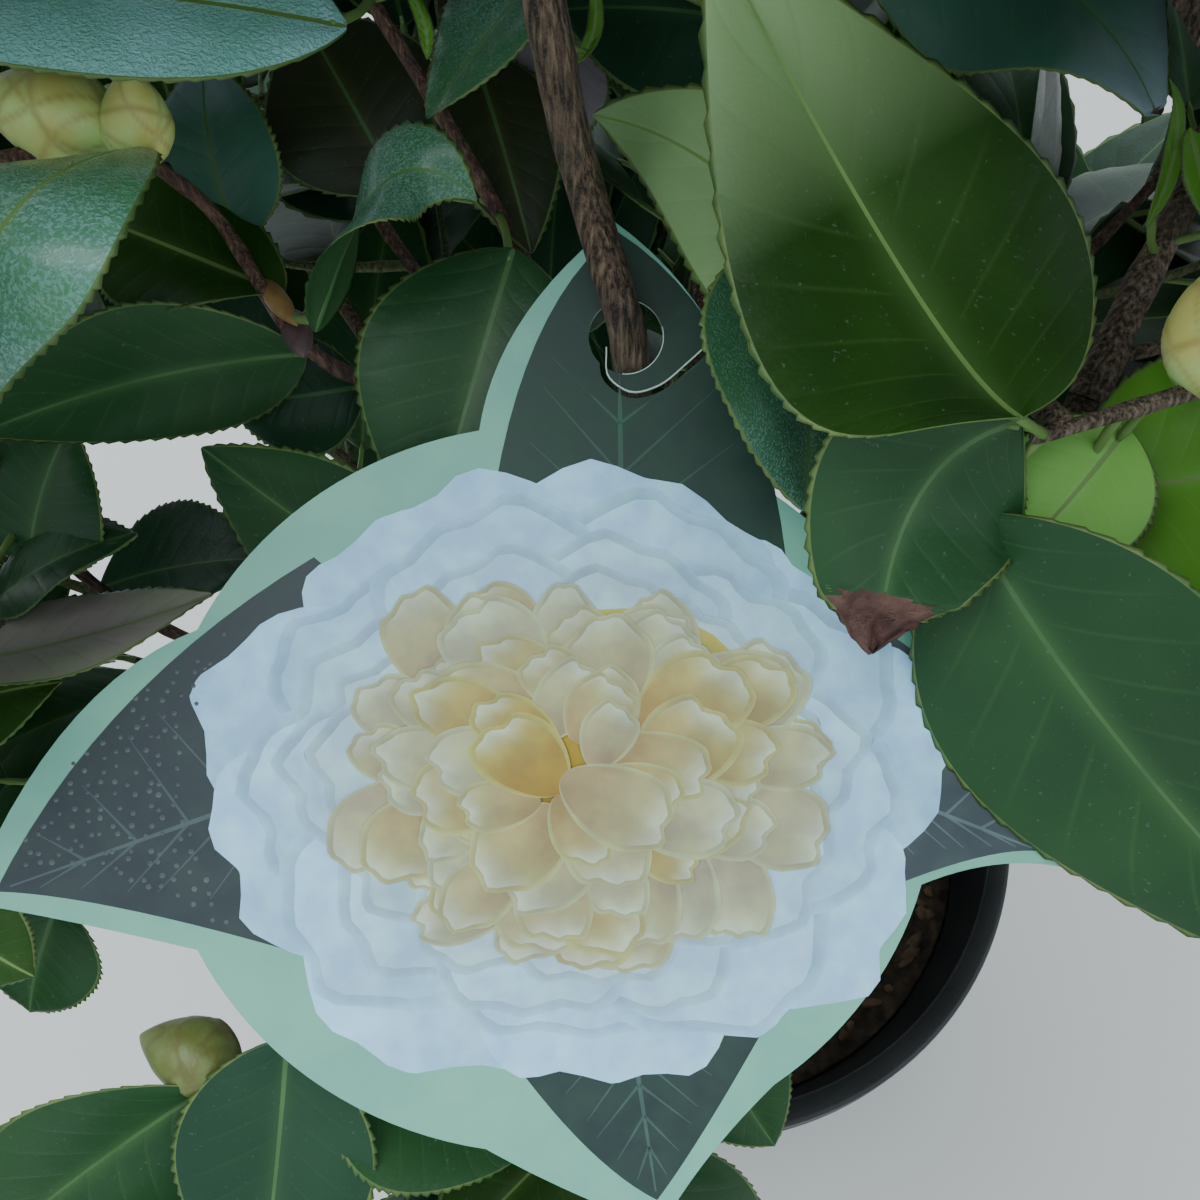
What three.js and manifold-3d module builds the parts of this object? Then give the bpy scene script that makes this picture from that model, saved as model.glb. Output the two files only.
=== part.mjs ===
// A young camellia in a black nursery pot, with a die-cut picture label hooked on its main stem.
// Millimetres, +Z up. The origin is the centre of the pot's flat underside.
import * as THREE from "three";
import { mergeVertices } from "three/addons/utils/BufferGeometryUtils.js";
import Module from "manifold-3d";

const wasm = await Module();
wasm.setup();

const gap = 0.3;
const seamTolerance = 0.02;
const up = new THREE.Vector3(0, 0, 1);

// The pot is a thin tapered tub with a turned-out rim and drain holes in its base
const pot = {
  height: 170,
  baseRadius: 76,
  shoulderRadius: 97,
  rimRadius: 105,
  rimDrop: 12,
  mouthRadius: 98,
  wall: 2,
  floor: 3,
  edge: 1.5,
  segments: 32,
  holes: 6,
  holeRadius: 6,
  holeCircle: 58,
};

// The compost fills the pot to a little below its rim, raised slightly round the stem
const compost = { level: 148, sideDrop: 4, crown: 30, segments: 24 };

// The label lies in its own frame: across is x, up is y and out of its printed face is z
const label = {
  place: new THREE.Vector3(-29.2, -59.4, 398.9),
  tiltDeg: 30,
  thickness: 0.6,
  bodyCentre: new THREE.Vector2(-7.5, -26.5),
  bodyWide: 54.2,
  bodyHigh: 51,
  hole: new THREE.Vector2(3.6, 36.9),
  holeRadius: 5.2,
  slitWidth: 0.8,
};

// The main stem leans to the front left, then rises through the label's hole and bends back
const trunk = {
  foot: compost.level + gap,
  tip: 540,
  sides: 8,
  stations: 16,
  way: [
    [0, 0, compost.level + gap],
    [0, -1, 158],
    [-10, -16, 240],
    [-20, -27, 330],
    [-25.1, -27.9, 416.7],
    [-26.8, -27.7, 425.3],
    [-32.4, -20.5, 443.3],
    [-35.5, -19.3, 462.5],
    [-43, -5, 505],
    [-48, 4, 540],
  ],
  radii: [
    [148, 8.5],
    [162, 5.4],
    [240, 4.2],
    [330, 3.4],
    [425, 2.65],
    [462, 2.5],
    [540, 1.9],
  ],
};

// A bough's root is this share of the trunk's radius, and it leads into its mass's stem
const bough = { sides: 5, stations: 4, share: 0.62, tipRadius: 1.5, lead: 0.18 };

// The crown keeps inside a rounded block with these half sizes
const crown = { centre: new THREE.Vector3(-6, -6, 424), reach: new THREE.Vector3(200, 204, 210), power: 2.6 };

// The crown is open in front of the label: a cone that widens from a viewing point down to it
const clearing = { viewDistance: 168, slope: 0.5, margin: 10, behind: -30, depth: -45 };

// Gaps beside the label through which the ground shows, as slopes across and up from that point
const gaps = [
  { name: "beside the pot", left: 0.03, right: 0.56, low: -0.56, high: -0.2 },
  { name: "left", left: -0.43, right: -0.28, low: 0, high: 0.17 },
  { name: "low left", left: -0.56, right: -0.37, low: -0.42, high: -0.29 },
];

// A blade's outline swells to its widest before the middle and draws out to its tip
const leafForm = {
  widestPower: 0.82,
  bluntPower: 0.85,
  taper: 0.1,
  thickness: 1,
  foldDeg: 11,
  stalk: 6,
  sunk: 0.12,
  rings: [0.42],
  handRings: [0.3, 0.66],
  roomRings: [0.2, 0.4, 0.7],
  roomThickness: 4,
};

const twigForm = { sides: 3, stations: 3, roomStations: 5, radius: 1.4, tipRadius: 0.9 };

const sideTwigForm = { stations: 2, radius: 1.05, tipRadius: 0.7, roomFrom: 0.2 };

const budForm = {
  rings: [0.35, 0.75],
  sides: 5,
  sideways: new THREE.Vector3(0.3, 0.8, 0.1),
  widestPower: 0.85,
  sunk: 1.5,
  lengths: [11, 15.5],
  radii: [3.9, 5.5],
};

// How twigs and leaves follow one another, and how far they keep from everything else
const growth = {
  spiralDeg: 137.5,
  turnFrom: new THREE.Vector3(0.1, 0.2, 1),
  sideTwigs: 6,
  sideFrom: 0.08,
  sideTo: 0.9,
  sideSplayDeg: 54,
  sideSwingDeg: 69,
  sideShortest: 38,
  sideLongest: 58,
  rise: 0.3,
  sag: 0.08,
  leafFrom: 0.32,
  leafTo: 0.95,
  leafSpacing: 12,
  leafSplayDeg: 58,
  leafSwingDeg: 60,
  leanDeg: [-16, 20],
  leafLift: 0.12,
  faceAlong: 0.5,
  clusterLeaves: 3,
  clusterAt: 0.99,
  clusterTurnDeg: 40,
  clusterSplayDeg: 42,
  shortest: 60,
  longest: 82,
  breadth: 0.54,
  bow: 4,
  rollDeg: 22,
  tries: 8,
  budShare: 0.14,
  budLift: 0.3,
  limbClearance: 1.5,
  homeShare: 0.75,
  homeSlack: 24,
};

// The first number of each run of chances, so that no two draws on a stem share one
const draw = { cluster: 50, turn: 60, length: 70, twig: 80, bud: 90 };

const radians = THREE.MathUtils.degToRad;

// One repeatable number from 0 to 1 for a few whole numbers
function chance(...keys) {
  let h = 2166136261;
  for (const key of keys) {
    h = Math.imul(h ^ key, 16777619);
    h ^= h >>> 13;
    h = Math.imul(h, 0x5bd1e995);
    h ^= h >>> 15;
  }
  return (h >>> 0) / 4294967296;
}

function between(low, high, ...keys) {
  return low + (high - low) * chance(...keys);
}

// The label's frame, and the way back into it
const labelPlace = new THREE.Matrix4().makeRotationX(radians(label.tiltDeg)).setPosition(label.place);
const labelInverse = labelPlace.clone().invert();
const labelFacing = new THREE.Vector3(0, 0, 1).transformDirection(labelPlace);

function atLabel([across, high, out]) {
  return new THREE.Vector3(across, high, out).applyMatrix4(labelPlace);
}

// A geometry with only its positions, shared vertices merged and empty triangles dropped
function bare(geometry) {
  const copy = geometry.clone();
  copy.deleteAttribute("normal");
  copy.deleteAttribute("uv");
  const merged = mergeVertices(copy, 1e-4);
  const index = merged.getIndex().array;
  const kept = [];
  for (let i = 0; i < index.length; i += 3) {
    const [a, b, c] = [index[i], index[i + 1], index[i + 2]];
    if (a !== b && b !== c && c !== a) kept.push(a, b, c);
  }
  merged.setIndex(kept);
  return merged;
}

function toSolid(geometry) {
  const merged = bare(geometry);
  const vertProperties = new Float32Array(merged.getAttribute("position").array);
  const triVerts = new Uint32Array(merged.getIndex().array);
  return new wasm.Manifold(new wasm.Mesh({ numProp: 3, vertProperties, triVerts }));
}

// A joined or cut solid's mesh, with the slivers along its seams closed up
function toGeometry(solid) {
  const mesh = solid.simplify(seamTolerance).getMesh();
  const geometry = new THREE.BufferGeometry();
  geometry.setAttribute("position", new THREE.Float32BufferAttribute(mesh.vertProperties, 3));
  geometry.setIndex(Array.from(mesh.triVerts));
  geometry.computeVertexNormals();
  return geometry;
}

// A closed skin over rings of points that turn anticlockwise round the way they follow.
// A ring of one point is a tip, and an end ring of more is closed flat.
function loft(rings) {
  const positions = [];
  const index = [];
  const firsts = [];
  for (const ring of rings) {
    firsts.push(positions.length / 3);
    for (const point of ring) positions.push(point.x, point.y, point.z);
  }
  for (let i = 0; i + 1 < rings.length; i++) {
    const [a, b] = [firsts[i], firsts[i + 1]];
    const [m, n] = [rings[i].length, rings[i + 1].length];
    for (let k = 0; k < Math.max(m, n); k++) {
      const next = (k + 1) % Math.max(m, n);
      if (n === 1) index.push(a + k, a + next, b);
      else if (m === 1) index.push(a, b + next, b + k);
      else index.push(a + k, a + next, b + next, a + k, b + next, b + k);
    }
  }
  const last = firsts[firsts.length - 1];
  for (let k = 1; k + 1 < rings[0].length; k++) index.push(0, k + 1, k);
  for (let k = 1; k + 1 < rings[rings.length - 1].length; k++) index.push(last, last + k, last + k + 1);
  const geometry = new THREE.BufferGeometry();
  geometry.setAttribute("position", new THREE.Float32BufferAttribute(positions, 3));
  geometry.setIndex(index);
  return geometry;
}

// The rings of a round limb along a curve, its radius a function of the share of its length
function limbRings(curve, radiusAt, sides, stations) {
  const frames = curve.computeFrenetFrames(stations, false);
  return frames.tangents.map((tangent, i) => {
    const centre = curve.getPointAt(i / stations);
    const radius = radiusAt(i / stations, centre);
    const side = frames.normals[i];
    const across = new THREE.Vector3().crossVectors(tangent, side);
    return Array.from({ length: sides }, (_, k) => {
      const turn = (2 * Math.PI * k) / sides;
      return centre
        .clone()
        .addScaledVector(side, radius * Math.cos(turn))
        .addScaledVector(across, radius * Math.sin(turn));
    });
  });
}

// A value read off a rising list of [place, value] pairs
function along(pairs, place) {
  const next = pairs.findIndex(([at]) => at > place);
  if (next === 0) return pairs[0][1];
  if (next < 0) return pairs[pairs.length - 1][1];
  const [[a, from], [b, to]] = [pairs[next - 1], pairs[next]];
  return from + ((to - from) * (place - a)) / (b - a);
}

const trunkCurve = new THREE.CatmullRomCurve3(trunk.way.map((p) => new THREE.Vector3(...p)));

// The point on the trunk's axis at a given height
function trunkAt(height) {
  let [low, high] = [0, 1];
  for (let i = 0; i < 30; i++) {
    const middle = (low + high) / 2;
    if (trunkCurve.getPoint(middle).z < height) low = middle;
    else high = middle;
  }
  return trunkCurve.getPoint(low);
}

const trunkRings = limbRings(trunkCurve, (_, p) => along(trunk.radii, p.z), trunk.sides, trunk.stations);
for (const point of trunkRings[0]) point.z = trunk.foot;

const fullTrunk = limbRings(trunkCurve, (_, p) => along(trunk.radii, p.z) + gap, trunk.sides, trunk.stations);
const trunkRoom = toSolid(loft(fullTrunk));

// Half a leaf's width as a share of its widest, from its foot to its drawn-out tip
function leafOutline(share) {
  const { widestPower, bluntPower, taper } = leafForm;
  return Math.sin(Math.PI * share ** widestPower) ** bluntPower * (1 - taper * share);
}

// Where a leaf lies and how it is turned at a share of its length
function leafFrame(leaf, share) {
  const tangent = leaf.spine.getTangent(share);
  const face = leaf.facing.clone().addScaledVector(tangent, -leaf.facing.dot(tangent)).normalize();
  face.applyAxisAngle(tangent, -radians(leaf.roll + leaf.twist * (share - 0.5)));
  const side = new THREE.Vector3().crossVectors(face, tangent);
  return { centre: leaf.spine.getPoint(share), tangent, face, side };
}

// A point of the folded blade: across runs from -1 at one edge to 1 at the other
function leafPoint(leaf, share, across) {
  const { centre, face, side } = leafFrame(leaf, share);
  const reach = (leafOutline(share) * leaf.width) / 2;
  return centre
    .addScaledVector(side, reach * across * Math.cos(leaf.fold))
    .addScaledVector(face, reach * Math.abs(across) * Math.sin(leaf.fold));
}

function makeLeaf({ root, foot, tip, middle, bow = growth.bow, facing, width, roll = 0, ...rest }) {
  const half = foot.clone().add(tip).multiplyScalar(0.5);
  const { twist = 0, fold = leafForm.foldDeg, rings = leafForm.rings } = rest;
  const leaf = { root, width, roll, twist, facing, rings, fold: radians(fold) };
  leaf.spine = new THREE.QuadraticBezierCurve3(foot, half, tip);
  if (middle) leaf.spine.v1 = middle.clone().multiplyScalar(2).sub(half);
  else leaf.spine.v1 = half.clone().addScaledVector(leafFrame(leaf, 0.5).face, 2 * bow);
  return leaf;
}

// Rings across a leaf's blade, each with its two edges and the two faces of its midrib
function leafRings(leaf, shares, thickness) {
  return shares.map((share) => {
    const { centre, face } = leafFrame(leaf, share);
    return [
      leafPoint(leaf, share, 1),
      centre.clone().addScaledVector(face, thickness / 2),
      leafPoint(leaf, share, -1),
      centre.clone().addScaledVector(face, -thickness / 2),
    ];
  });
}

// A leaf as a thin folded blade that starts just past its twig's axis
function leafGeometry(leaf) {
  const stalk = leaf.spine.getPoint(0).sub(leaf.root).normalize();
  const start = leaf.root.clone().addScaledVector(stalk, -leafForm.sunk);
  const rings = leafRings(leaf, leaf.rings, leafForm.thickness);
  return loft([[start], ...rings, [leaf.spine.getPoint(1)]]);
}

function makeTwig(points, radius = twigForm.radius, tipRadius = twigForm.tipRadius) {
  const stations = Math.max(twigForm.stations, points.length - 1);
  return { curve: new THREE.CatmullRomCurve3(points), radius, tipRadius, stations };
}

function makeSideTwig(points) {
  return { ...sideTwigForm, curve: new THREE.CatmullRomCurve3(points) };
}

// The point at a share of a twig's length, on the straight stretches between its stations
function onTwig({ curve, stations }, share) {
  const station = Math.min(Math.floor(share * stations), stations - 1);
  const next = curve.getPointAt((station + 1) / stations);
  return curve.getPointAt(station / stations).lerp(next, share * stations - station);
}

function twigSolid(twig) {
  const radiusAt = (share) => twig.radius + (twig.tipRadius - twig.radius) * share;
  return toSolid(loft(limbRings(twig.curve, radiusAt, twigForm.sides, twig.stations)));
}

// A bud is a pointed egg whose foot is sunk in its twig
function budSolid(bud) {
  const axis = bud.tip.clone().sub(bud.foot).normalize();
  const side = budForm.sideways.clone().cross(axis).normalize();
  const across = new THREE.Vector3().crossVectors(axis, side);
  const start = bud.foot.clone().addScaledVector(axis, -budForm.sunk);
  const rings = budForm.rings.map((share) => {
    const radius = bud.radius * Math.sin(Math.PI * share ** budForm.widestPower);
    const centre = start.clone().lerp(bud.tip, share);
    return Array.from({ length: budForm.sides }, (_, k) => {
      const turn = (2 * Math.PI * k) / budForm.sides;
      return centre
        .clone()
        .addScaledVector(side, radius * Math.cos(turn))
        .addScaledVector(across, radius * Math.sin(turn));
    });
  });
  return toSolid(loft([[start], ...rings, [bud.tip.clone()]]));
}

// Whether a point lies in the open side of the crown or in one of the gaps beside the label
function inClearing(point) {
  const seen = point.clone().applyMatrix4(labelInverse);
  const depth = clearing.viewDistance - seen.z;
  const reach = clearing.slope * Math.max(depth, 0) + clearing.margin;
  const inCone = depth > clearing.behind && seen.z > clearing.depth;
  if (inCone && Math.max(Math.abs(seen.x), Math.abs(seen.y)) < reach) return true;
  const [across, high] = [seen.x / depth, seen.y / depth];
  return gaps.some((g) => depth > 0 && across > g.left && across < g.right && high > g.low && high < g.high);
}

function inCrown(point) {
  const shares = point.clone().sub(crown.centre).divide(crown.reach).toArray();
  return shares.reduce((sum, share) => sum + Math.abs(share) ** crown.power, 0) < 1;
}

// Nothing but the trunk and the boughs' feet comes nearer than this above or beside the pot's rim
const rimGuard = { above: 12, beside: 8 };

function nearPot(point) {
  const across = Math.hypot(point.x, point.y);
  return point.z < pot.height + rimGuard.above && across < pot.rimRadius + rimGuard.beside;
}

// The spaces already taken, each a closed solid that no new piece may reach into
const rooms = [];

function asRoom(geometry) {
  const solid = toSolid(geometry);
  return { solid, box: new THREE.Box3().setFromBufferAttribute(geometry.getAttribute("position")) };
}

// Whether a solid reaches into any of the others
function meets(others, { solid, box }) {
  return others.some((other) => {
    if (!other.box.intersectsBox(box)) return false;
    const shared = other.solid.intersect(solid);
    const reaches = !shared.isEmpty();
    shared.delete();
    return reaches;
  });
}

function leafRoom(leaf) {
  const rings = leafRings(leaf, leafForm.roomRings, leafForm.roomThickness);
  return asRoom(loft([...rings, [leaf.spine.getPoint(1)]]));
}

// A limb's room, from a share of its length on, with clearance all round
function limbRoom(curve, radius, from, sides) {
  const points = [0, 1, 2, 3].map((i) => curve.getPointAt(THREE.MathUtils.lerp(from, 1, i / 3)));
  const part = new THREE.CatmullRomCurve3(points);
  return asRoom(loft(limbRings(part, () => radius + growth.limbClearance, sides, twigForm.roomStations)));
}

// The masses of foliage. Each stands on a bough that leaves the trunk at a height and ends at a
// tip; the masses beside the label have their twigs, leaves and buds set in the label's frame,
// and all of them carry more twigs and leaves by the rule below.
const masses = [
  {
    name: "left",
    rise: 345,
    twigs: [
      [[-14, 31, -46], [-30.5, 34, -35], [-43.5, 37.5, -8], [-54, 54, 0], [-58.5, 57, 12]],
      [[-27.5, 33, -38], [-21, 0, -24]],
      [[-58, 56.5, 11], [-64, 61.2, 15.2]],
    ],
    leaves: [
      {
        foot: [-58.4, 58, 14.4], middle: [-67.7, 41.2, 33], tip: [-78.8, 21.7, 17.4],
        width: 27, roll: -8, twist: 56, fold: 0,
      },
      { foot: [-44, 37, -12], tip: [-95, 25, -14], width: 30, roll: 58, fold: 6, bow: -3 },
      {
        foot: [-45.4, 44.1, -5], middle: [-66, 53.2, -9.5], tip: [-75.4, 56.5, -7],
        width: 25, roll: -10, twist: 60,
      },
      { foot: [-54.5, 54, -14], tip: [-58, 80, -8], width: 25, roll: 20, bow: 3 },
      {
        foot: [-38, 35.6, 8.2], middle: [-27.4, 52.8, 15.9], tip: [-15.5, 50.7, 15.7],
        width: 17, roll: 37, twist: -176, fold: 5,
      },
      { foot: [-38.5, 35, -28], tip: [-61.5, 32, -28], width: 21, roll: 20, bow: 2 },
      { foot: [-23.5, -1.5, -20], tip: [-61, 23.5, -16], width: 30, roll: 30, bow: 2 },
    ],
    buds: [
      { foot: [-61.5, 61, 15], tip: [-79, 63.8, 17], radius: 6.2 },
      { foot: [-57.5, 58.5, 10], tip: [-57.4, 64.4, 21], radius: 5 },
      { foot: [-60, 62, 8], tip: [-66, 69, 7], radius: 4 },
    ],
  },
  {
    name: "upper_left",
    rise: 318,
    twigs: [
      [[-5, 40, -42], [-12.5, 54, -18], [-24, 71, 0], [-30.5, 80, 8], [-35, 87, 14]],
      [[-24, 71, 0], [-16, 82.5, 8], [-7, 88.5, 12]],
    ],
    leaves: [
      { foot: [-31.5, 71.5, 18], tip: [-98, 73, 24], width: 34, roll: -25, bow: 3 },
      { foot: [-25, 78, 14], tip: [-12, 118, 26], width: 30, bow: 3 },
      { foot: [-32, 65.5, -24], tip: [-47, 92, -20], width: 31, bow: 3 },
      { foot: [-3, 87, 12], tip: [-22, 61.5, 14], width: 22, roll: -38, bow: 1 },
      { foot: [-19.5, 83.5, -14], tip: [-10.5, 53, -16], width: 20, roll: 10, bow: 2 },
      { foot: [21, 86, -10], tip: [-6, 87.5, -10], width: 30, bow: 2 },
      { foot: [-12.5, 51, -6], tip: [-25.5, 8, -10], width: 36, bow: 2 },
      { foot: [-5, 86, 4], tip: [-8, 73, -22], width: 26, bow: 2 },
    ],
  },
  {
    name: "left_low",
    rise: 236,
    twigs: [[[-54, -21.5, -90], [-85.5, -4, -60], [-94, 8.5, -40], [-96.5, 16.5, -32], [-99.5, 25.5, -25]]],
    leaves: [
      { foot: [-94, 5, -30], tip: [-85.5, 28.5, -26], width: 34, roll: 20, bow: 2 },
      { foot: [-96.5, -1, -22], tip: [-72.5, 10.5, -20], width: 24, roll: 50, bow: 2 },
      { foot: [-98.5, -7.5, -14], tip: [-57, 0, -10], width: 34, roll: 60, bow: 2 },
      { foot: [-101, -19, -8], tip: [-78, -12, -6], width: 30, roll: 40, bow: 2 },
      { foot: [-93, 2, -55], tip: [-61.5, 7.5, -50], width: 34, roll: 40, bow: 2 },
    ],
  },
  {
    name: "lower_left",
    rise: 214,
    twigs: [
      [[-32.5, -66.5, -60], [-49.5, -72.5, -30], [-61.5, -76, -24]],
      [[-42, -71, -42], [-81, -50.5, -34], [-97, -42.5, -14]],
    ],
    leaves: [
      { foot: [-86.5, -48, -24], tip: [-94, -68, -30], width: 22, bow: 2 },
      { foot: [-94.5, -43.5, -4], tip: [-82, -54.5, -6], width: 18, bow: 2 },
      { foot: [-62.5, -77.5, -22], tip: [-105.5, -110.5, -24], width: 36, roll: 30, bow: -2 },
      { foot: [-48.5, -68, -18], tip: [-55.5, -118, -26], width: 34, bow: -2 },
      { foot: [-44.5, -76, -30], tip: [-14.5, -94.5, -34], width: 30, roll: 40, bow: 2 },
    ],
    buds: [{ foot: [-60, -74.5, -24.5], tip: [-74, -70, -25], radius: 6.2 }],
  },
  {
    name: "right",
    rise: 262,
    radius: 2.9,
    twigs: [
      [[73, 30, -12], [79, 45.5, -8], [85, 59, -5], [89.5, 75.5, 0], [98, 98, 4]],
      [[89.5, 75.5, 0], [70, 92, 6], [50, 97, 9]],
    ],
    leaves: [
      {
        foot: [33.5, 87.6, 8], middle: [59.1, 80.5, 11.2], tip: [74.6, 61.4, 9.1],
        width: 38.4, roll: 13, twist: 54,
      },
    ],
  },
  {
    name: "right_front",
    rise: 221,
    radius: 1.7,
    twigs: [
      [[97, 26, 2], [92, 33, 10], [75, 26.5, 18], [52, 19.5, 24]],
      [[56, 21, 23], [48, 31, 17], [33, 43, 14]],
    ],
    leaves: [
      {
        foot: [46.6, 20, 35.4], middle: [34.9, 37, 30.6], tip: [11.5, 73.8, 38],
        width: 46.5, roll: -9, twist: 43,
      },
      {
        foot: [37.9, 17.8, 11.7], middle: [21.7, 46.4, 20], tip: [-1, 67.5, 1],
        width: 25.7, roll: 11, twist: 70,
      },
      { foot: [24.5, 47.5, 14], tip: [26.5, 11.5, 12], width: 36, roll: 30, bow: 2 },
      {
        foot: [50.2, 21.3, 25.5], middle: [39, 11.5, 18], tip: [34, -12.5, 20],
        width: 33, roll: 18, twist: -50,
      },
      { foot: [67.5, 22, 14], tip: [52.5, 4, 12], width: 21, bow: 2 },
      { foot: [62.5, 13.5, 6], tip: [102.5, 20, 6], width: 35, bow: 2 },
      {
        foot: [47.5, 11, 13], middle: [67.1, -18.2, 13], tip: [97, -50.5, 12],
        width: 45, roll: -40, twist: 12,
      },
    ],
    buds: [{ foot: [74.5, 28, 21], tip: [72.5, 41, 30], radius: 6.2 }],
  },
  { name: "top", stem: [-46, 14, 572] },
  { name: "upper_right", rise: 474, bough: [2, -16, 504], stem: [62, -18, 546] },
  { name: "upper_back", rise: 468, bough: [-28, 20, 498], stem: [-18, 80, 540] },
  { name: "upper_back_left", rise: 488, bough: [-70, 6, 510], stem: [-124, 26, 550] },
  { name: "back", rise: 298, bough: [-10, 22, 356], stem: [-4, 88, 404] },
  { name: "back_left", rise: 308, bough: [-52, 12, 366], stem: [-100, 66, 424] },
  { name: "back_right", rise: 276, bough: [30, 8, 350], stem: [88, 46, 404] },
  { name: "far_left", rise: 286, bough: [-118, 42, 366], stem: [-168, -6, 410] },
  {
    name: "front_low",
    rise: 190,
    twigs: [
      [[-5, -106.5, -131], [-3, -123, -104], [-1, -137, -72]],
      [[-4.5, -110, -125], [10, -104, -115], [20, -99, -110]],
    ],
    leaves: [
      { foot: [22, -98, -110], tip: [40.5, -126.5, -110], width: 30, bow: 2 },
      { foot: [3, -137, -76], tip: [54, -172, -96], width: 34, bow: 4 },
      { foot: [-6, -140, -74], tip: [-26, -196, -92], width: 36, bow: 4 },
      { foot: [-8, -128, -96], tip: [-62, -150, -112], width: 34, roll: 20, bow: 4 },
      { foot: [6, -124, -106], tip: [40, -176, -136], width: 34, roll: 10, bow: 4 },
    ],
  },
  { name: "front_left", rise: 204, bough: [-84, -92, 258], stem: [-112, -140, 300] },
  { name: "front_right", rise: 208, bough: [90, -48, 294], stem: [128, -104, 340] },
  { name: "right_low", rise: 197, bough: [66, -20, 252], stem: [132, -30, 294] },
  { name: "back_low", rise: 241, bough: [-12, 42, 266], stem: [-8, 106, 300] },
  { name: "back_left_low", rise: 251, bough: [-60, 22, 276], stem: [-116, 58, 310] },
  { name: "back_right_low", rise: 231, bough: [36, 26, 262], stem: [88, 76, 300] },
];

// The points of a twig that starts one way and bends up as it goes
function risingWay(start, direction, length) {
  const risen = direction.clone().addScaledVector(up, growth.rise).normalize();
  const middle = start.clone().addScaledVector(direction, length * 0.5);
  return [start, middle, middle.clone().addScaledVector(risen, length * 0.5)];
}

// The points of a limb from one place to another that sags a little on its way
function saggingWay(from, to, sag) {
  const middle = from.clone().lerp(to, 0.5).addScaledVector(up, -sag * from.distanceTo(to));
  return [from, middle, to];
}

// A bough runs from inside the trunk to its mass, and its last stretch is in line with the mass's
// stem, which begins 0.3 mm past the bough's tip
function layOut(mass) {
  const ways = mass.twigs?.map((points) => points.map(atLabel));
  const tip = mass.bough && new THREE.Vector3(...mass.bough);
  const start = ways ? ways[0][0].clone() : (tip ?? trunkAt(trunk.tip));
  mass.twigs = ways ?? [saggingWay(start, new THREE.Vector3(...mass.stem), growth.sag)];
  const stem = mass.twigs[0];
  const onward = stem[1].clone().sub(start).normalize();
  mass.twigs[0] = [start.clone().addScaledVector(onward, gap), ...stem.slice(1)];
  if (!mass.rise) return;
  const origin = trunkAt(mass.rise);
  const lead = start.clone().addScaledVector(onward, -bough.lead * origin.distanceTo(start));
  mass.boughWay = [...saggingWay(origin, lead, growth.sag), start];
}

function boughGeometry(mass) {
  const curve = new THREE.CatmullRomCurve3(mass.boughWay);
  const rootRadius = bough.share * along(trunk.radii, mass.rise);
  const tipRadius = mass.radius ?? bough.tipRadius;
  const radiusAt = (share) => Math.max(rootRadius, tipRadius) * (1 - share) + tipRadius * share;
  rooms.push(limbRoom(curve, bough.tipRadius, 0, bough.sides));
  const limb = toSolid(loft(limbRings(curve, radiusAt, bough.sides, bough.stations)));
  return toGeometry(limb.subtract(trunkRoom));
}

// The nearest point on any twig of a mass, where a leaf or bud set by hand has its root
function nearestOnTwigs(twigs, point) {
  const steps = 40;
  let best = null;
  for (const twig of twigs) {
    for (let i = 0; i < steps; i++) {
      const at = onTwig(twig, i / steps);
      if (!best || at.distanceToSquared(point) < best.distanceToSquared(point)) best = at;
    }
  }
  return best;
}

function placeByHand(mass) {
  for (const { foot, tip, middle, ...rest } of mass.leaves ?? []) {
    const leaf = makeLeaf({
      root: nearestOnTwigs(mass.made.twigs, atLabel(foot)),
      foot: atLabel(foot),
      tip: atLabel(tip),
      middle: middle && atLabel(middle),
      facing: labelFacing,
      rings: leafForm.handRings,
      ...rest,
    });
    mass.made.leaves.push(leaf);
    rooms.push(leafRoom(leaf));
  }
  for (const { foot, tip, radius } of mass.buds ?? []) {
    mass.made.buds.push({ foot: nearestOnTwigs(mass.made.twigs, atLabel(foot)), tip: atLabel(tip), radius });
  }
}

// A mass keeps the space that is nearer to its own middle than to any other's
function atHome(point, mass) {
  const own = point.distanceTo(mass.home) - growth.homeSlack;
  return masses.every((other) => other === mass || point.distanceTo(other.home) > own);
}

function allowed(points, mass) {
  return points.every((at) => inCrown(at) && !nearPot(at) && !inClearing(at) && atHome(at, mass));
}

// A direction that leaves an axis at an angle, turned round it
function splayed(axis, turn, splay) {
  const level = new THREE.Vector3().crossVectors(axis, growth.turnFrom).normalize();
  const radial = level.applyAxisAngle(axis, turn);
  return axis.clone().multiplyScalar(Math.cos(splay)).addScaledVector(radial, Math.sin(splay));
}

function growLeaf(mass, twig, share, turn, splay, keys) {
  const root = onTwig(twig, share);
  const axis = twig.curve.getTangentAt(share);
  for (let attempt = 0; attempt < growth.tries; attempt++) {
    const swing = radians(between(-growth.leafSwingDeg, growth.leafSwingDeg, ...keys, attempt, 1));
    const lean = radians(between(...growth.leanDeg, ...keys, attempt, 2));
    const splayedOut = splayed(axis, turn + swing, splay + lean);
    const direction = splayedOut.addScaledVector(up, growth.leafLift).normalize();
    const length = between(growth.shortest, growth.longest, ...keys, attempt, 3);
    const foot = root.clone().addScaledVector(direction, leafForm.stalk);
    const leaf = makeLeaf({
      root,
      foot,
      tip: foot.clone().addScaledVector(direction, length),
      facing: axis.clone().multiplyScalar(growth.faceAlong).add(up),
      width: length * growth.breadth,
      roll: between(-growth.rollDeg, growth.rollDeg, ...keys, attempt, 4),
    });
    if (!allowed([...leafRings(leaf, leafForm.roomRings, 0).flat(), leaf.spine.getPoint(1)], mass)) continue;
    const room = leafRoom(leaf);
    if (meets(rooms, room)) continue;
    mass.made.leaves.push(leaf);
    rooms.push(room);
    return;
  }
}

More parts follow.
